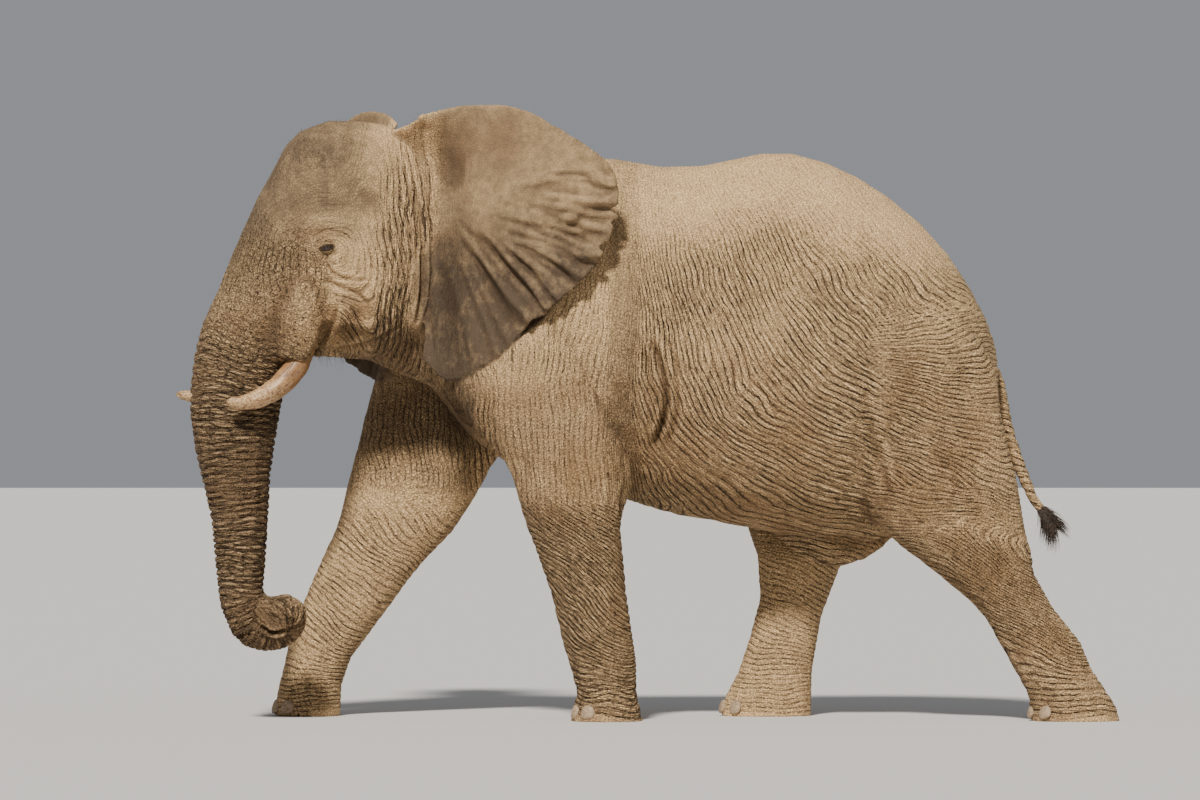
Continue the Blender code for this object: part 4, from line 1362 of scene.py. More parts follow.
@dataclass
class Lie:
    """The lie of the folds over world points, laid down region by region.

    The cells of both sets of coordinates are long along the folds, and their second column
    counts across them. The first set is even on the head and bends over the flank, where
    its folds are the hyperbolas a b = constant, a the distance behind the armpit and b the
    height over the belly. The second rings the eye and the neck, the trunk and the legs,
    and fans out over the thigh.
    """

    points: Array
    head: Array = field(init=False)  # the points in the head's frame
    first: Array = field(init=False)
    second: Array = field(init=False)
    share: Array = field(init=False)  # how much of the second set counts
    depth: Array = field(init=False)
    long: Array = field(init=False)  # how much the folds run as rows and not as a net
    phases: list = field(init=False)  # folds passed in each set

    def __post_init__(self) -> None:
        """Bends the points a little, so that no fold is straight, and lays every region."""
        bend = np.zeros_like(self.points)
        for size, width, seed in ((0.13, 0.012, 61), (0.05, 0.002, 64)):
            for axis in range(3):
                bend[:, axis] += width * noise(self.points, size, seed + axis)
        self.points = self.points + bend + 0.035 * noise(self.points, 0.45, 67)[:, None]
        self.head = to_head(self.points)
        self.body()
        self.face()
        self.chest()
        self.trunk()
        self.thigh()
        self.legs()
        self.ears()

    def body(self) -> None:
        """The first set: hyperbolas over the flank, upright on the shoulder, level ahead."""
        x, y, z = self.points.T
        a, b = smooth_max(y + 0.12, 0.0, 0.15), smooth_max(z - 1.0, 0.0, 0.20)
        flow = np.stack([x * ALONG, np.sqrt(2.0 * a * b), 0.075 * (a - b)], axis=1)
        shoulder = np.stack([x * ALONG, y * 1.05 - 0.16 * (z - 1.75) ** 2, z * 0.20], axis=1)
        flow = mixed(flow, shoulder, ease(-0.02, -0.22, y))
        front = ease(-0.95, -1.20, y)
        level = self.points * (0.95, 0.95, 0.85)
        level[:, 1] += 0.45 * (x - MIDDLE_X)
        self.first = mixed(flow, level, front)
        self.long = 1.0 - front
        flank = ease(-0.22, 0.02, y) * ease(3.05, 2.55, z + 0.28 * np.abs(y - 0.7))
        arm = ease(-1.15, -0.90, y) * ease(-0.05, -0.25, y)
        depth = 0.16 + 0.84 * flank * ease(2.4, 1.7, y)
        depth = depth + 0.32 * arm * ease(2.7, 2.2, z)
        self.depth = mixed(depth, 0.30, front)

    def face(self) -> None:
        """Rings round the eye that open into upright folds behind it."""
        x, y, z = self.points.T
        hy, hz = self.head[:, 1], self.head[:, 2]
        back, up = hy - CHEEK[0], hz - CHEEK[1]
        squash = 1.0 - 0.88 * ease(0.02, 0.34, back)
        rings = np.hypot(back, squash * up)
        self.second = np.stack([x * ALONG, rings, 0.13 * (up + back)], axis=1)
        behind = ease(-0.05, 0.15, back)
        share = ease(0.55, 0.38, np.hypot(back, up)) * (1.0 - behind) + behind
        self.share = share * ease(-0.50, -0.75, y) * ease(1.75, 2.05, z)
        self.long = np.maximum(self.long, 0.9 * behind * self.share)
        face = ease(-1.05, -1.35, hy)
        brow = face * ease(2.62, 2.80, hz) * ease(-1.58, -1.72, hy)
        cheek = 0.55 * hill(self.head[:, 1:], (-1.80, 2.42), (0.20, 0.20))
        mouth = 1.1 * hill(self.head[:, 1:], (-1.76, 2.24), (0.10, 0.13))
        rear = 1.10 * ease(-1.80, -1.58, hy) * ease(3.6, 2.6, hz + 2.2 * np.clip(-1.45 - hy, 0, 1))
        rear = rear * ease(1.85, 2.20, hz)
        close = np.hypot(hy - EYE_SPOT[0], (hz - EYE_SPOT[1]) * 1.3)
        lids = 0.46 * bell((close - 0.125) / 0.055)
        lids = lids * (0.25 + 0.75 * ease(0.02, 0.09, np.abs(hz - EYE_SPOT[1])))
        own = np.maximum.reduce([cheek, rear, mouth, lids]) + 0.18 + 0.16 * brow
        own = np.maximum(own, self.depth * (1 - face))
        depth = mixed(self.depth, own, ease(-0.60, -0.95, y))
        depth = depth * (1.0 - 0.45 * brow)
        self.depth = depth * ease(0.04, 0.10, close)

    def chest(self) -> None:
        """Deep rows on the chest, under the throat."""
        _, y, z = self.points.T
        chest = ease(-0.72, -0.90, y) * ease(2.30, 2.05, z) * ease(1.15, 1.40, z)
        self.long = np.maximum(self.long, 0.8 * chest)
        self.depth = np.maximum(self.depth, 0.85 * chest)

    def trunk(self) -> None:
        """Blocks at the trunk's root, rings further down, nothing at its tip."""
        near, at, offset = TRUNK.find(self.points, -1.80, 3.05)
        hy = self.head[near, 1]
        block = 0.62 - 0.46 * ease(0.75, 1.25, at)
        rung = np.stack([offset[:, 0] * block, at * 0.9, offset[:, 1] * block], axis=1)
        rung = rung + (5.0, 0.0, 5.0)
        ringed = ease(0.42, 1.05, at) * ease(-1.92, -2.08, hy)
        blocks = ease(0.06, 0.42, at) * ease(-1.80, -1.94, hy)
        covered = np.maximum(blocks, ringed)
        self.second[near] = np.where(ringed[:, None] > 0.0, rung, self.second[near])
        self.share[near] = self.share[near] * (1.0 - covered) + ringed
        self.long[near] = mixed(self.long[near], 0.62, covered)
        depth = 0.85 * blocks + 0.35 * ringed - 0.85 * ease(2.95, 3.10, at)
        self.depth[near] = np.maximum(self.depth[near], depth)

    def thigh(self) -> None:
        """A fan that opens from the knee over the thigh."""
        x, y, z = self.points.T
        thigh = ease(1.22, 1.45, y) * ease(2.45, 2.15, z)
        angle, away = np.arctan2(2.05 - z, y - 1.0), np.hypot(y - 1.0, 2.05 - z)
        fan = np.stack([x * ALONG, angle * np.sqrt(away) * 1.1, away * 0.12 + 7.0], axis=1)
        self.second = np.where(thigh[:, None] > 0.0, fan, self.second)
        self.share = np.maximum(self.share, thigh)
        self.depth = np.maximum(self.depth, 0.75 * thigh * ease(2.3, 1.7, z))

    def legs(self) -> None:
        """Rings round the legs; on the hind legs they grow out of the thigh's fan."""
        for number, leg in enumerate(LEGS):
            fore = number < 2
            own = leg.share(self.points)
            own = own * (ease(0.3, 0.7, own) if fore else 1.0)
            lie, covered = leg.lie(self.points), own > 0.0
            if fore:
                self.second = np.where(covered[:, None], lie + 10.0 * (number + 1), self.second)
            else:
                middle = np.flatnonzero((own > 0.45) & (own < 0.55))
                shift = (self.second[middle] - lie[middle]).mean(axis=0) if len(middle) else 0.0
                self.second = mixed(self.second, lie + shift, own)
            self.share = np.where(covered, own, self.share)
            self.long = np.maximum(self.long, own)
            depth = self.depth * (1 - own) + leg.folds * own
            self.depth = np.where(covered, depth, self.depth)

    def ears(self) -> None:
        """Takes the folds off the ears and the soles and counts the rows of what is left."""
        bare = 1.0 - ear_share(self.points)
        self.share = self.share * bare
        self.depth = self.depth * (1.0 - 0.90 * (1.0 - bare)) * ease(0.0, 0.05, self.points[:, 2])
        self.long = self.long * bare
        waver = 0.9 * noise(self.points, 0.17, 71) + 0.18 * noise(self.points, 0.06, 72)
        rate = HideFinish().folds_per_metre
        self.phases = [rate * lie[:, 1] + waver for lie in (self.first, self.second)]


@dataclass(frozen=True)
class Weather:
    """Where dust lies on the hide and where it is stained, by place and by facing, with painted
    light and painted shade among them.
    """

    points: Array
    normals: Array

    def dust(self) -> Array:
        """Pale dust and painted light: dust and painted top light on what looks up and on the rump,
        painted light on the far legs, dust on the cheek, less on the nose.

        Returns:
            How much dust and painted light each point takes, from below 0 to above 1.
        """
        x, y, z = self.points.T
        head = to_head(self.points)
        # faces that look up get dust and painted top light
        upward_dust_and_light = ease(-0.2, 0.9, self.normals[:, 2])
        # painted light on the far legs
        far_leg_light = ease(0.25, 0.12, x) * ease(1.75, 1.35, z)
        cheek = hill(head[:, 1:], (-1.62, 2.72), (0.22, 0.30))
        snout = ease(-1.9, -2.2, head[:, 1]) * ease(0.45, 0.35, np.abs(head[:, 0]))
        dust = 0.80 * upward_dust_and_light + 0.42 * far_leg_light + 1.2 * cheek - 0.25 * snout
        # dust and painted top light on the upper body behind the shoulder
        return dust + 1.15 * ease(1.75, 2.5, z) * ease(-0.6, 0.0, y)

    def ash(self) -> Array:
        """Dark stains and painted shade: darker on the crown and the trunk, painted shade on the
        throat, the ears and the near foreleg.

        Returns:
            How strong the stain and painted shade are at each point, from 0 to 1.2.
        """
        x, y, z = self.points.T
        head = to_head(self.points)
        aside, hy = np.abs(head[:, 0]), head[:, 1]
        edge = 0.10 * noise(self.points, 0.20, 81)
        crown = ease(-1.42, -1.86, hy + edge) * ease(2.45, 2.95, z + edge)
        # painted shade under the jaw, on the throat
        throat = ease(-0.80, -1.0, y) * ease(2.35, 2.15, z)
        throat *= ease(1.45, 1.60, z) * ease(-1.75, -1.60, hy)
        trunk = ease(-1.93, -2.15, hy) * (1.0 - crown) * ease(0.45, 0.35, aside)
        trunk = trunk * (1.0 - LEGS[1].share(self.points)) * ease(0.30, 0.37, z)
        face = 0.90 * crown + trunk * (0.44 + 0.16 * ease(2.2, 1.6, z))
        # painted shade on the near foreleg below the ear and on the near legs' front faces
        near_side_shade = ease(0.15, 0.40, x) * ease(2.55, 1.6, z)
        fore = near_side_shade * ease(-1.3, -1.0, y) * ease(0.05, -0.15, y)
        front = near_side_shade * ease(0.2, -0.8, self.normals[:, 1]) * ease(1.5, 1.2, z)
        legs = (0.08 + 0.24 * ease(1.25, 1.75, z)) * fore + 0.36 * front
        # painted shade on the ears, darker towards their bottom
        ears = ear_share(self.points) * (0.74 + 0.34 * ease(3.05, 2.3, z + edge))
        return np.clip(np.maximum.reduce([face, legs, ears, 0.55 * throat]), 0.0, 1.2)

    def net(self) -> Array:
        """How strong the fine net is: weak on the ears, a little weaker on the face."""
        eared = ear_share(self.points)
        face = ease(-1.05, -1.35, to_head(self.points)[:, 1]) * ease(1.70, 1.95, self.points[:, 2])
        return 1.0 - 0.62 * eared - 0.15 * face * (1.0 - eared)


@dataclass
class Skin:
    """One closed skin over every piece of flesh, with folds and the lie of its grain."""

    voxel: float = 0.0105
    spread: float = 0.0006  # each piece swells by this, so that the thin cuts close
    weld: float = 0.00001  # corners nearer than this are one
    passes: int = 60
    most_faces: int = 162000
    curl_passes: int = 30  # extra smoothing where the trunk's curl touches itself
    lid_passes: int = 8
    sunk_passes: int = 10
    fold_gap: float = 0.046  # between the net's folds
    fold_press: float = 0.0060  # how deep a fold is pressed in
    ring_press: float = 0.019  # how deep a ring of the trunk is
    sway: float = 0.004  # slow unevenness where folds are deep

    def flesh(self) -> list[str]:
        """Names of the CAD nodes that the skin stands for."""
        parts = frame["record"]["subparts"]
        return [part["node"] for part in parts if part["material_slot"] == "hide"]

    def gather(self) -> Object:
        """Copies the flesh into one object, swollen a hair, with the ears made anew.

        Returns:
            The pieces in one mesh, not yet joined.
        """
        shape = bmesh.new()
        for name in self.flesh():
            if name.startswith("ear"):
                continue
            piece = bmesh.new()
            piece.from_mesh(frame["nodes"][name].data)
            bmesh.ops.remove_doubles(piece, verts=piece.verts, dist=self.weld)
            piece.normal_update()
            mesh = bpy.data.meshes.new("piece")
            piece.to_mesh(mesh)
            piece.free()
            set_points(mesh, mesh_points(mesh) + self.spread * mesh_normals(mesh))
            shape.from_mesh(mesh)
            bpy.data.meshes.remove(mesh)
        for ear in EARS:
            shell = ear.build()
            shape.from_mesh(shell.data)
            bpy.data.objects.remove(shell)
        mesh = bpy.data.meshes.new("skin")
        shape.to_mesh(mesh)
        shape.free()
        obj = bpy.data.objects.new("skin", mesh)
        bpy.context.scene.collection.objects.link(obj)
        return obj

    def fuse(self, obj: Object) -> None:
        """Makes one closed surface of the gathered pieces, on a fine grid.

        Args:
            obj: the gathered pieces.
        """
        remesh = obj.modifiers.new("fuse", "REMESH")
        remesh.mode = "VOXEL"
        remesh.voxel_size = self.voxel * 1.0
        apply_modifiers(obj)

    def relax(self, points: Array, near: Neighbours, hold: Array) -> Array:
        """Smooths without shrinking: each pass moves in by 0.5 and out again by 0.52.

        Args:
            points: corners.
            near: who is joined to whom.
            hold: how much each corner may move, from 0 to 1.

        Returns:
            The smoothed corners.
        """
        for _ in range(self.passes // (1)):
            points = near.drawn(points, 0.5 * hold[:, None])
            points = near.drawn(points, -0.52 * hold[:, None])
        return points

    def build(self) -> Object:
        """Builds the whole skin.

        Returns:
            The finished skin.
        """
        obj = self.gather()
        self.fuse(obj)
        mesh = obj.data
        LOG.info("skin fused: %d corners", len(mesh.vertices))
        points, near = mesh_points(mesh), Neighbours.of(mesh)
        hold = (1.0 - 0.75 * ear_share(points)) * ease(0.004, 0.03, points[:, 2])
        points = self.relax(points, near, hold)
        head = to_head(points)
        curl = ease(0.80, 0.70, head[:, 2]) * ease(-1.93, -1.97, head[:, 1])
        for _ in range(self.curl_passes):
            points = near.drawn(points, 0.5 * curl[:, None])
        set_points(mesh, points)
        points, crease = self.form(mesh)
        points, fold = self.wrinkle(mesh, points)
        # the crease attribute is painted shade in the creases, folds and trunk rings
        set_attribute(mesh, "crease", np.clip(np.maximum(crease, fold), 0.0, 1.0))
        set_points(mesh, points)
        self.thin(obj)
        self.open_eyes(obj.data)
        self.grain(obj.data)
        obj.data.shade_smooth()
        obj.data.materials.clear()
        obj.data.materials.append(HideFinish().make())
        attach(obj, "root")
        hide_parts(*self.flesh())
        LOG.info("skin: %d faces", len(obj.data.polygons))
        return obj

    def form(self, mesh: Mesh) -> tuple[Array, Array]:
        """Adds bones, muscles and the great creases.

        Args:
            mesh: the smoothed skin.

        Returns:
            The moved corners and the painted shade of the creases at each.
        """
        points, normals = mesh_points(mesh), mesh_normals(mesh)
        body = points - np.array([MIDDLE_X, 0.0, 0.0])
        head = to_head(points)
        head_facing = normals[:, 0] * HEAD_COS + normals[:, 1] * HEAD_SIN
        frames = {Place.BODY: (body, normals[:, 0]), Place.HEAD: (head, head_facing)}
        bare = 1.0 - ear_share(points)
        push, deep = np.zeros(len(points)), np.zeros(len(points))
        for swelling in BODY_FORMS + HEAD_FORMS:
            push += bare * swelling.push(frames[swelling.place][0])
        for crease in BODY_CREASES + HEAD_CREASES:
            out, groove = crease.push(*frames[crease.place])
            share = 1.0 if crease.on_ear else bare
            push += share * out
            deep = np.maximum(deep, share * groove)
        return points + normals * push[:, None], deep

    def wrinkle(self, mesh: Mesh, points: Array) -> tuple[Array, Array]:
        """Presses the folds into the skin, and the rings into the trunk.

        Args:
            mesh: the skin.
            points: where its corners are by now.

        Returns:
            The moved corners and the painted shade of the folds and rings at each.
        """
        set_points(mesh, points)
        lie = Lie(points)
        grooves = []
        for number, place in enumerate((lie.first, lie.second)):
            phase = lie.phases[number]
            netted = 1.0 - ease(0.0, 0.36, cell_edges(place, self.fold_gap, number + 1))
            rows = 1.0 - ease(0.0, 0.30, np.abs(phase / 2 - np.round(phase / 2)))
            grooves.append(mixed(netted, rows, lie.long))
        groove = grooves[0] * (1 - lie.share) + grooves[1] * lie.share
        patchy = 0.75 + 0.35 * noise(points, 0.22, 21)
        push = -self.fold_press * lie.depth * groove * patchy
        push += self.sway * lie.depth * noise(points, 0.16, 22)
        # painted shade in the bottoms of the folds
        deep = groove**2 * lie.depth * patchy * 0.14

        near, at, _ = TRUNK.find(points, -1.85, 2.75)
        ringed = ease(0.75, 1.25, at)
        sway = 0.55 * noise(points[near], 0.16, 31) + 0.22 * noise(points[near], 0.06, 32)
        wave = np.abs(np.sin(np.pi * (TRUNK.phase(at) + sway)))
        ring = (1.0 - ease(0.0, 0.85, wave)) ** 1.5
        strength = self.ring_press * ringed * (0.75 + 0.4 * noise(points[near], 0.09, 33))
        strength = strength * ease(3.15, 2.95, at)
        push[near] = push[near] * (1 - 0.4 * ringed) - strength * ring
        # painted shade in the trunk's ring grooves
        deep[near] = np.maximum(deep[near] * (1 - ringed), ringed * ring * 0.50)
        return points + mesh_normals(mesh) * push[:, None], deep

    def open_eyes(self, mesh: Mesh) -> None:
        """Makes the mesh finer round the eyes and shapes the lids there.

        Args:
            mesh: the skin with its folds.
        """
        lids = [Lids(side) for side in Side]
        for more in (0.02, -0.015):
            close = np.any([lid.near(mesh_points(mesh), more) for lid in lids], axis=0)
            mesh.edges.foreach_set("select", close[mesh_edges(mesh)].all(axis=1))
            shape = bmesh.new()
            shape.from_mesh(mesh)
            split = [edge for edge in shape.edges if edge.select]
            bmesh.ops.subdivide_edges(shape, edges=split, cuts=1, use_grid_fill=True)
            bmesh.ops.triangulate(shape, faces=[f for f in shape.faces if len(f.verts) > 3])
            shape.to_mesh(mesh)
            shape.free()
        points = mesh_points(mesh)
        hold = np.any([lid.near(points) for lid in lids], axis=0).astype(float)
        near = Neighbours.of(mesh)
        for _ in range(self.lid_passes):
            points = near.drawn(points, 0.5 * hold[:, None])
        # painted shade of the creases, cleared round the eyes, where the lids set their own
        crease = get_attribute(mesh, "crease") * (1.0 - hold)
        for lid in lids:
            points, dark = lid.shape(points)
            crease = np.maximum(crease, dark)
        set_points(mesh, points)
        set_attribute(mesh, "crease", crease)

    def thin(self, obj: Object) -> None:
        """Spends the faces where the folds are: collapses edges that change the least.

        Round the eyes nothing collapses.

        Args:
            obj: the skin.
        """
        obj.data.calc_loop_triangles()
        count = len(obj.data.loop_triangles)
        if count <= self.most_faces:
            return
        points = mesh_points(obj.data)
        kept = np.any([Lids(side).near(points, 0.02) for side in Side], axis=0)
        group = obj.vertex_groups.new(name="spend")
        group.add(np.flatnonzero(~kept).tolist(), 1.0, "REPLACE")
        group.add(np.flatnonzero(kept).tolist(), 0.0, "REPLACE")
        thin = obj.modifiers.new("thin", "DECIMATE")
        thin.vertex_group = group.name
        thin.ratio = self.most_faces / count
        thin.use_collapse_triangulate = True
        apply_modifiers(obj)

    def grain(self, mesh: Mesh) -> None:
        """Stores what the finish reads: the lie of the folds, their depth, dust and stains, painted
        light and painted shade.

        What lies deeper than a smoothed copy of the skin counts as sunk and gets painted shade;
        what stands out of it is dustier.

        Args:
            mesh: the finished skin.
        """
        points, normals = mesh_points(mesh), mesh_normals(mesh)
        lie, weather = Lie(points), Weather(points, normals)
        smooth, near = points, Neighbours.of(mesh)
        for _ in range(self.sunk_passes):
            smooth = near.drawn(smooth, 0.5)
        sunk = ((smooth - points) * normals).sum(axis=1)
        # painted shade in the sunk hollows
        pressed = 0.55 * ease(0.0006, 0.0045, sunk)
        stored = {
            "phase_a": lie.phases[0], "phase_b": lie.phases[1], "long": lie.long,
            "lie_a": lie.first, "lie_b": lie.second, "lie_mix": lie.share, "relief": lie.depth,
            "dust": weather.dust() + 0.5 * ease(0.0004, 0.0035, -sunk),
            "crease": np.maximum(get_attribute(mesh, "crease"), pressed),
            "ash": weather.ash(), "net": weather.net(),
        }
        for name, values in stored.items():
            set_attribute(mesh, name, values)


# ------------------------------------------------------------------ eyes, tusks, nails, hair


def uv_from_grid(mesh: Mesh, name: str, uv: Array) -> None:
    """Stores a map that has one place for each corner of the mesh.

    Args:
        mesh: the mesh.
        name: the map's name.
        uv: one row for each corner.
    """
    corner = read(mesh.loops, "vertex_index", 1, np.int32)[:, 0]
    layer = mesh.uv_layers.new(name=name)
    layer.data.foreach_set("uv", uv[corner].astype(np.float32).ravel())


def map_tube(obj: Object, along: Array, around: int) -> None:
    """Gives a tube the map "along": u round it and v along it, with its two end points.

    Args:
        obj: the tube.
        along: v of each ring.
        around: points in a ring.
    """
    across = np.linspace(0.0, 1.0, around, endpoint=False)
    place = np.stack(np.meshgrid(along, across, indexing="ij"), -1).reshape(-1, 2)[:, ::-1]
    uv_from_grid(obj.data, "along", np.concatenate([place, [[0.5, 0.0], [0.5, 1.0]]]))


@dataclass(frozen=True)
class Eye:
    """An eyeball with a bulging cornea, turned outwards and a little forwards and down."""

    side: Side
    cornea: float = 0.05  # how far it stands out, in radii
    gaze: tuple = (0.90, -0.38, -0.12)
    rings: int = 48
    around: int = 64

    def build(self) -> Object:
        """A ball whose radius grows round its axis, for the cornea.

        Returns:
            The eyeball.
        """
        centre, radius = eyeball(self.side)
        out = np.linspace(0.0, math.pi, self.rings)
        turn = np.linspace(0.0, 2 * math.pi, self.around, endpoint=False)
        bulge = radius * (1.0 + self.cornea * ease(0.75, 0.35, out))
        axis = unit(way_from_head([self.side.value * self.gaze[0], *self.gaze[1:]]))
        side = unit(np.cross([0.0, 0.0, 1.0], axis))
        up = np.cross(axis, side)
        spokes = np.cos(turn)[None, :, None] * side + np.sin(turn)[None, :, None] * up
        ring = np.sin(out)[:, None, None] * spokes
        points = centre + bulge[:, None, None] * (np.cos(out)[:, None, None] * axis + ring)
        eye = tube(f"eyeball_{self.side.tag}", points[1:-1])
        map_tube(eye, out[1:-1] / math.pi, self.around)
        eye.data.materials.append(EyeFinish().make())
        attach(eye, "root")
        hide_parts(f"eye_{self.side.tag}")
        return eye


@dataclass(frozen=True)
class Tusk:
    """A curved tusk of round section, thickest at the lip and blunt at its worn tip."""

    side: Side
    extra: float = 0.0  # how much further it reaches
    rise: float = 0.0
    stations: tuple = (
        (0.270, -1.99, 2.18, 0.058), (0.290, -2.065, 2.00, 0.065), (0.305, -2.135, 1.92, 0.064),
        (0.325, -2.275, 1.825, 0.054), (0.343, -2.390, 1.795, 0.040), (0.356, -2.475, 1.800, 0.020),
    )
    rings: int = 120
    around: int = 48

    def build(self) -> Object:
        """Carries a circle along the middle line; its radius swells and dips a little.

        Returns:
            The tusk.
        """
        table = np.array(self.stations)
        share = np.clip((table[2, 1] - table[:, 1]) / (table[2, 1] - table[-1, 1]), 0.0, 1.0)
        table[:, 1] -= self.extra * share
        table[:, 2] += self.rise * share
        rows = curve(table, self.rings)
        along = np.linspace(0.0, 1.0, self.rings)
        radius = rows[:, 3] * (1 - 0.02 * np.sin(along * 40.0))
        radius = radius * np.sqrt(np.clip((1.004 - along) / 0.035, 0.0, 1.0))
        centre = rows[:, :3] * (self.side.value, 1.0, 1.0)
        _, sideways, depth = ring_frames(centre)
        turn = np.linspace(0.0, 2 * math.pi, self.around, endpoint=False)[None, :, None]
        spokes = sideways[:, None] * np.cos(turn) + depth[:, None] * np.sin(turn)
        points = from_head(centre[:, None] + radius[:, None, None] * spokes)
        worn = noise(points, 0.05, 41) * 0.0025 + noise(points, 0.018, 42) * 0.001
        points = points + worn[..., None] * spokes
        tusk = tube(f"ivory_{self.side.tag}", points)
        map_tube(tusk, along, self.around)
        tusk.data.materials.append(IvoryFinish().make())
        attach(tusk, "root")
        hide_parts(f"tusk_{self.side.tag}")
        return tusk


@dataclass(frozen=True)
class Toenails:
    """The broad nails round the front of one foot, each a low dome of horn."""

    foot: str
    count: int
    half: tuple = (0.046, 0.018, 0.040)  # half width, depth and height
    sunk: float = 0.0095  # how far its middle lies in the foot
    rings: int = 14
    around: int = 28

    def dome(self) -> tuple[Array, Array, Array]:
        """A squarish ball that narrows and leans back upwards and bends round the foot.

        Returns:
            Metres aside, outwards and up of each point of its rings.
        """
        rise = np.linspace(0.0, math.pi, self.rings)[:, None]
        turn = np.linspace(0.0, 2 * math.pi, self.around, endpoint=False)[None, :]
        wide = self.half[0] * signed_power(np.sin(rise), 0.75) * signed_power(np.cos(turn), 0.85)
        deep = self.half[1] * signed_power(np.sin(rise), 0.75) * signed_power(np.sin(turn), 0.85)
        tall = self.half[2] * signed_power(np.cos(rise), 0.8)
        wide = wide * (1.0 - 3.5 * tall)
        return wide, deep - self.sunk - 0.25 * tall - 4.5 * wide**2, tall

    def build(self) -> list[Object]:
        """Sets a dome at each nail's place, facing away from the foot's middle.

        Returns:
            The nails in the order of their numbers.
        """
        finish = NailFinish().make()
        limb = self.foot.replace("_foot", "").replace("foot", "")
        wide, deep, tall = self.dome()
        nails = []
        for number in range(1, self.count + 1):
            node = f"nail_{limb}_{number}"
            centre = box_of(node)[0]
            out = unit((centre - box_of(self.foot)[0]) * (1.0, 1.0, 0.0))
            side = np.array([-out[1], out[0], 0.0])
            points = centre + wide[..., None] * side + deep[..., None] * out
            points[..., 2] += tall
            nail = tube(f"horn_{node}", points[1:-1])
            nail.data.materials.append(finish)
            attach(nail, "root")
            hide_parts(node)
            nails.append(nail)
        return nails


def strands(name: str, roots: Array, directions: Array, lengths: Array, droop: Array,
            thick: float, places: Array, steps: int = 7) -> Object:
    """Tapered three-sided hairs joined in one mesh.

    A hair's point at share t is root + length (t direction + t^2 droop), and its radius
    is thick (1 - t) with a blunt start.

    Args:
        name: the object's name.
        roots: where the hairs start.
        directions: which way they leave.
        lengths: how long they are.
        droop: how they bend, as a vector for each.
        thick: radius at the root in metres.
        places: where each hair lies on its map; a hair is a small patch there.
        steps: points along a hair.

    Returns:
        The object.
    """
    t = np.linspace(0.0, 1.0, steps)[None, :, None]
    bent = t * directions[:, None] + t * t * droop[:, None]
    path = roots[:, None] + lengths[:, None, None] * bent
    along = unit(np.gradient(path, axis=1))
    side = unit(np.cross(along, [0.31, 0.52, 0.79]))
    other = np.cross(along, side)
    radius = thick * (1.0 - 0.92 * t)
    turn = np.arange(3) * 2 * math.pi / 3
    spokes = side[:, :, None] * np.cos(turn)[:, None] + other[:, :, None] * np.sin(turn)[:, None]
    rings = path[:, :, None] + radius[..., None] * spokes
    count = len(roots)
    points = rings.reshape(-1, 3)
    squares = grid_faces(steps, 3, True)
    start = (np.arange(count) * steps * 3)[:, None, None]
    faces = (start + squares[None]).reshape(-1, 4).tolist()
    first = (start[:, 0] + np.array([[2, 1, 0]])).tolist()
    last = (start[:, 0] + (steps - 1) * 3 + np.array([[0, 1, 2]])).tolist()
    obj = new_object(name, points, faces + first + last, turn_out=True)
    across = np.broadcast_to(np.arange(3) / 3.0, (count, steps, 3))
    along = np.broadcast_to(t, (count, steps, 3))
    patch = places[:, None, None] + HAIR_PATCH * np.stack([across, along], axis=-1)
    uv_from_grid(obj.data, "OFBake", patch.reshape(-1, 2))
    obj.data.materials.append(HairFinish().make())
    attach(obj, "root")
    return obj


@dataclass(frozen=True)
class TailHair:
    """The brush of coarse hair at the tail's end, in two lobes."""

    count: int = 760
    thick: float = 0.0022
    shortest: float = 0.085
    longest: float = 0.155
    seed: int = 5

    def build(self) -> Object:
        """Scatters hairs along the tail's end and leans them back and down.

        Returns:
            The brush.
        """
        rng = np.random.default_rng(self.seed)
        low, high = (np.array(corner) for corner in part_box("tail_tuft"))
        top = np.array([MIDDLE_X, low[1] + 0.02, high[2] - 0.02])
        upper = rng.random(self.count) < 0.4
        share = rng.random(self.count)
        roots = top + np.outer(share, [0.0, 0.075, -0.085])
        spin = rng.random(self.count) * 2 * math.pi
        ring = np.stack([np.cos(spin), 0.6 * np.sin(spin), 0.6 * np.sin(spin)], axis=1)
        roots = roots + 0.022 * ring
        back = np.where(upper, 0.85, 0.45) + 0.1 * rng.standard_normal(self.count)
        down = np.where(upper, -0.35, -0.95) + 0.1 * rng.standard_normal(self.count)
        directions = np.stack([0.25 * ring[:, 0], back, down], axis=1)
        lengths = self.shortest + (self.longest - self.shortest) * rng.random(self.count)
        sag = np.where(upper, -0.15, -0.35)
        droop = np.stack([-0.1 * ring[:, 0], sag, np.full(self.count, -0.25)], axis=1)
        places = 0.99 * np.stack([spin / (2 * math.pi), share], axis=1)
        brush = strands("tail_hair", roots, directions, lengths, droop, self.thick, places)
        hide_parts("tail_tuft")
        return brush


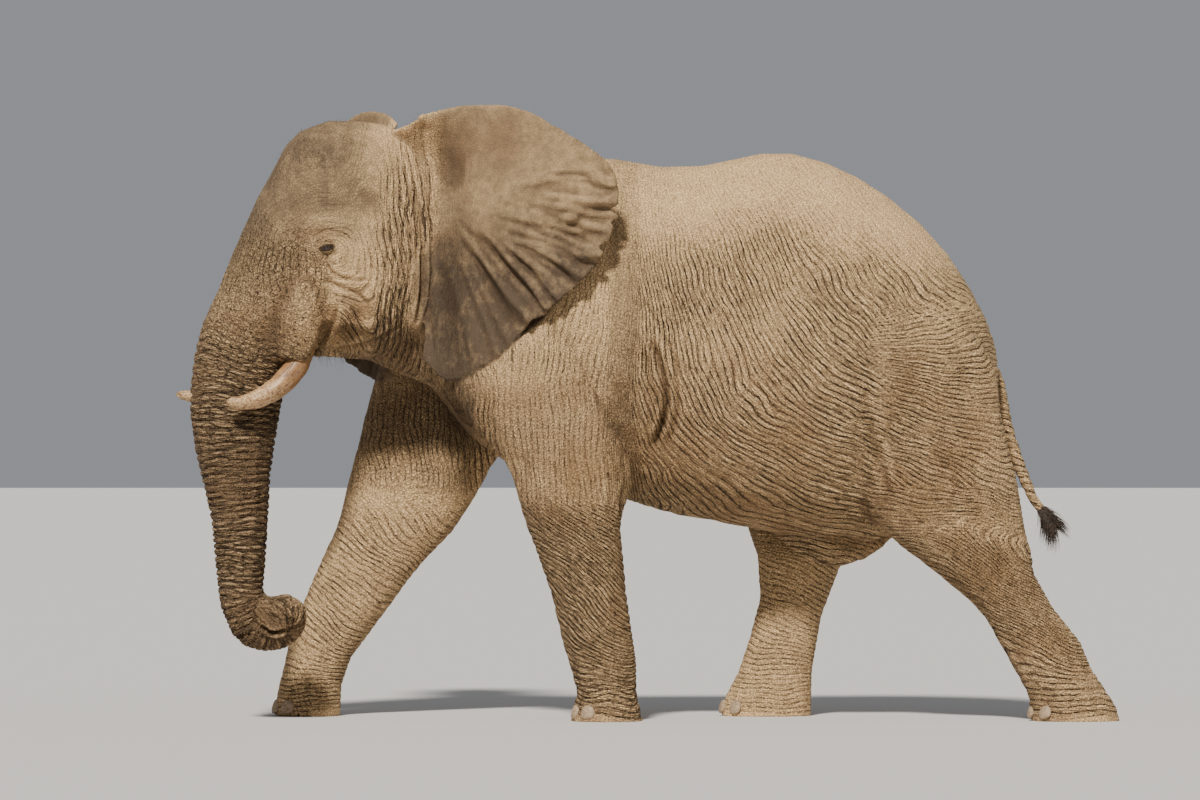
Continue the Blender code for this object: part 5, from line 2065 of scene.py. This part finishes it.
@dataclass(frozen=True)
class Lashes:
    """Long lashes that hang from an eye's upper lid."""

    side: Side
    count: int = 70
    thick: float = 0.00055
    shortest: float = 0.024
    longest: float = 0.046
    seed: int = 21

    def build(self) -> Object:
        """Roots stand along the upper border of the almond; hairs leave it out and down.

        Returns:
            The lashes.
        """
        lids = Lids(self.side)
        centre, radius = eyeball(self.side)
        out, back, up = lids.axes()
        rng = np.random.default_rng(self.seed)
        share = rng.random(self.count)
        turn = np.radians(18.0 + 140.0 * share)
        h = 1.06 * lids.half_width * np.cos(turn)
        v = 1.10 * lids.above * np.sin(turn)
        a = np.sqrt(np.clip((radius + 0.8 * lids.thick) ** 2 - h**2 - v**2, 0.0, None))
        roots = centre + a[:, None] * out + h[:, None] * back + v[:, None] * up
        lean = 0.10 * rng.standard_normal(self.count)
        directions = out[None] * 0.80 - up * 0.45 + (np.cos(turn) * 0.30 + lean)[:, None] * back
        lengths = self.shortest + (self.longest - self.shortest) * rng.random(self.count)
        droop = np.tile(-0.45 * up, (self.count, 1))
        places = np.stack([0.99 * share, np.full(self.count, 0.5)], axis=1)
        name = f"lashes_{self.side.tag}"
        return strands(name, roots, directions, lengths, droop, self.thick, places)


@dataclass(frozen=True)
class Bristles:
    """Sparse stiff hairs on the chin and lip, the crown and the trunk."""

    skin: Object
    thick: float = 0.0008
    hairs: tuple = (150, 260, 220)  # on chin, crown and trunk
    longest: tuple = (0.075, 0.054, 0.033)
    seed: int = 9

    def build(self) -> Object:
        """Picks corners of the skin in each zone and stands a hair on each.

        Returns:
            The bristles.
        """
        points, normals = mesh_points(self.skin.data), mesh_normals(self.skin.data)
        head = to_head(points)
        side, y, z = np.abs(head[:, 0]), head[:, 1], head[:, 2]
        chin = (side < 0.30) & (y < -1.72) & (y > -2.02) & (z < 2.12) & (z > 1.80)
        crown = (side < 0.42) & (y > -2.1) & (y < -1.35) & (z > 3.12)
        trunk = (side < 0.20) & (y < -2.0) & (z > 0.62) & (z < 2.2)
        rng = np.random.default_rng(self.seed)
        chosen, lengths = [], []
        for zone, count, longest in zip((chin, crown, trunk), self.hairs, self.longest):
            own = np.flatnonzero(zone)
            chosen.append(rng.choice(own, min(count, len(own)), replace=False))
            lengths.append(longest * (0.5 + rng.random(len(chosen[-1]))) / 1.5)
        chosen, lengths = np.concatenate(chosen), np.concatenate(lengths)
        count = len(chosen)
        directions = unit(normals[chosen] + 0.35 * rng.standard_normal((count, 3)))
        droop = np.tile([0.0, 0.15, -0.25], (count, 1))
        low, high = points.min(axis=0), points.max(axis=0)
        height = (points[chosen, 2] - low[2]) / (high[2] - low[2])
        length = (points[chosen, 1] - low[1]) / (high[1] - low[1])
        half = 0.5 * (head[chosen, 0] > 0.0)
        places = np.stack([0.49 * length + half, 0.99 * height], axis=1)
        roots = points[chosen] - 0.002 * normals[chosen]
        return strands("bristles", roots, directions, lengths, droop, self.thick, places, 4)


# ------------------------------------------------------------------ studio


@dataclass(frozen=True)
class Studio:
    """Floor, light and camera."""

    eye: tuple = (MIDDLE_X + 35.0, -0.257, 1.43)
    target: tuple = (MIDDLE_X, -0.257, 1.817)
    lens: float = 183.75
    floor_radius: float = 400.0
    floor_corners: int = 96
    key_power: float = 5.6
    key_width: float = math.radians(7.0)
    key_colour: tuple = (1.0, 0.96, 0.90)
    key_heading: tuple = (-1.0, 0.24, -0.95)
    fill_colour: tuple = (0.86, 0.89, 0.95, 1.0)
    fill_power: float = 0.33

    def build(self) -> None:
        """Makes them all."""
        self.floor()
        self.light()
        self.camera()

    def floor(self) -> None:
        """A disc so wide that its edge is far beyond every view."""
        turn = np.linspace(0.0, 2 * math.pi, self.floor_corners, endpoint=False)
        ring = np.stack([np.cos(turn), np.sin(turn), np.zeros(self.floor_corners)], axis=1)
        corners = list(range(self.floor_corners))
        floor = new_object("floor", self.floor_radius * ring, [corners])
        floor.data.materials.append(FloorFinish().make())

    def light(self) -> None:
        """A broad key from above the left side, over even light from all round."""
        sun = bpy.data.lights.new("key", "SUN")
        sun.energy, sun.angle, sun.color = self.key_power, self.key_width, self.key_colour
        lamp = bpy.data.objects.new("key", sun)
        lamp.rotation_euler = Vector(self.key_heading).to_track_quat("-Z", "Y").to_euler()
        bpy.context.scene.collection.objects.link(lamp)
        world = bpy.data.worlds.new("studio")
        bpy.context.scene.world = world
        world.use_nodes = True
        shade = world.node_tree.nodes["Background"]
        shade.inputs[0].default_value = self.fill_colour
        shade.inputs[1].default_value = self.fill_power

    def camera(self) -> None:
        """A long lens level with the elephant's chest, square to its side."""
        data = bpy.data.cameras.new("camera")
        data.lens = self.lens
        data.sensor_width = 36.0
        data.clip_end = 1000.0
        camera = bpy.data.objects.new("camera", data)
        camera.location = self.eye
        look = Vector(self.target) - Vector(self.eye)
        camera.rotation_euler = look.to_track_quat("-Z", "Y").to_euler()
        bpy.context.scene.collection.objects.link(camera)
        bpy.context.scene.camera = camera


def main() -> None:
    """Builds every piece, then the studio."""
    logging.basicConfig(level=logging.INFO, format="%(relativeCreated)d ms: %(message)s")
    pieces = [Skin().build()]
    pieces += [Eye(side).build() for side in Side]
    pieces += [Tusk(Side.LEFT).build(), Tusk(Side.RIGHT, 0.16, 0.05).build()]
    for foot, count in (("forefoot", 4), ("hind_foot", 3)):
        for side in Side:
            pieces += Toenails(f"{foot}_{side.tag}", count).build()
    pieces.append(TailHair().build())
    pieces += [Lashes(side).build() for side in Side]
    pieces.append(Bristles(pieces[0]).build())
    for piece in pieces:
        LOG.info("%s: %d faces", piece.name, len(piece.data.polygons))
    Studio().build()


if __name__ == "__main__":
    main()
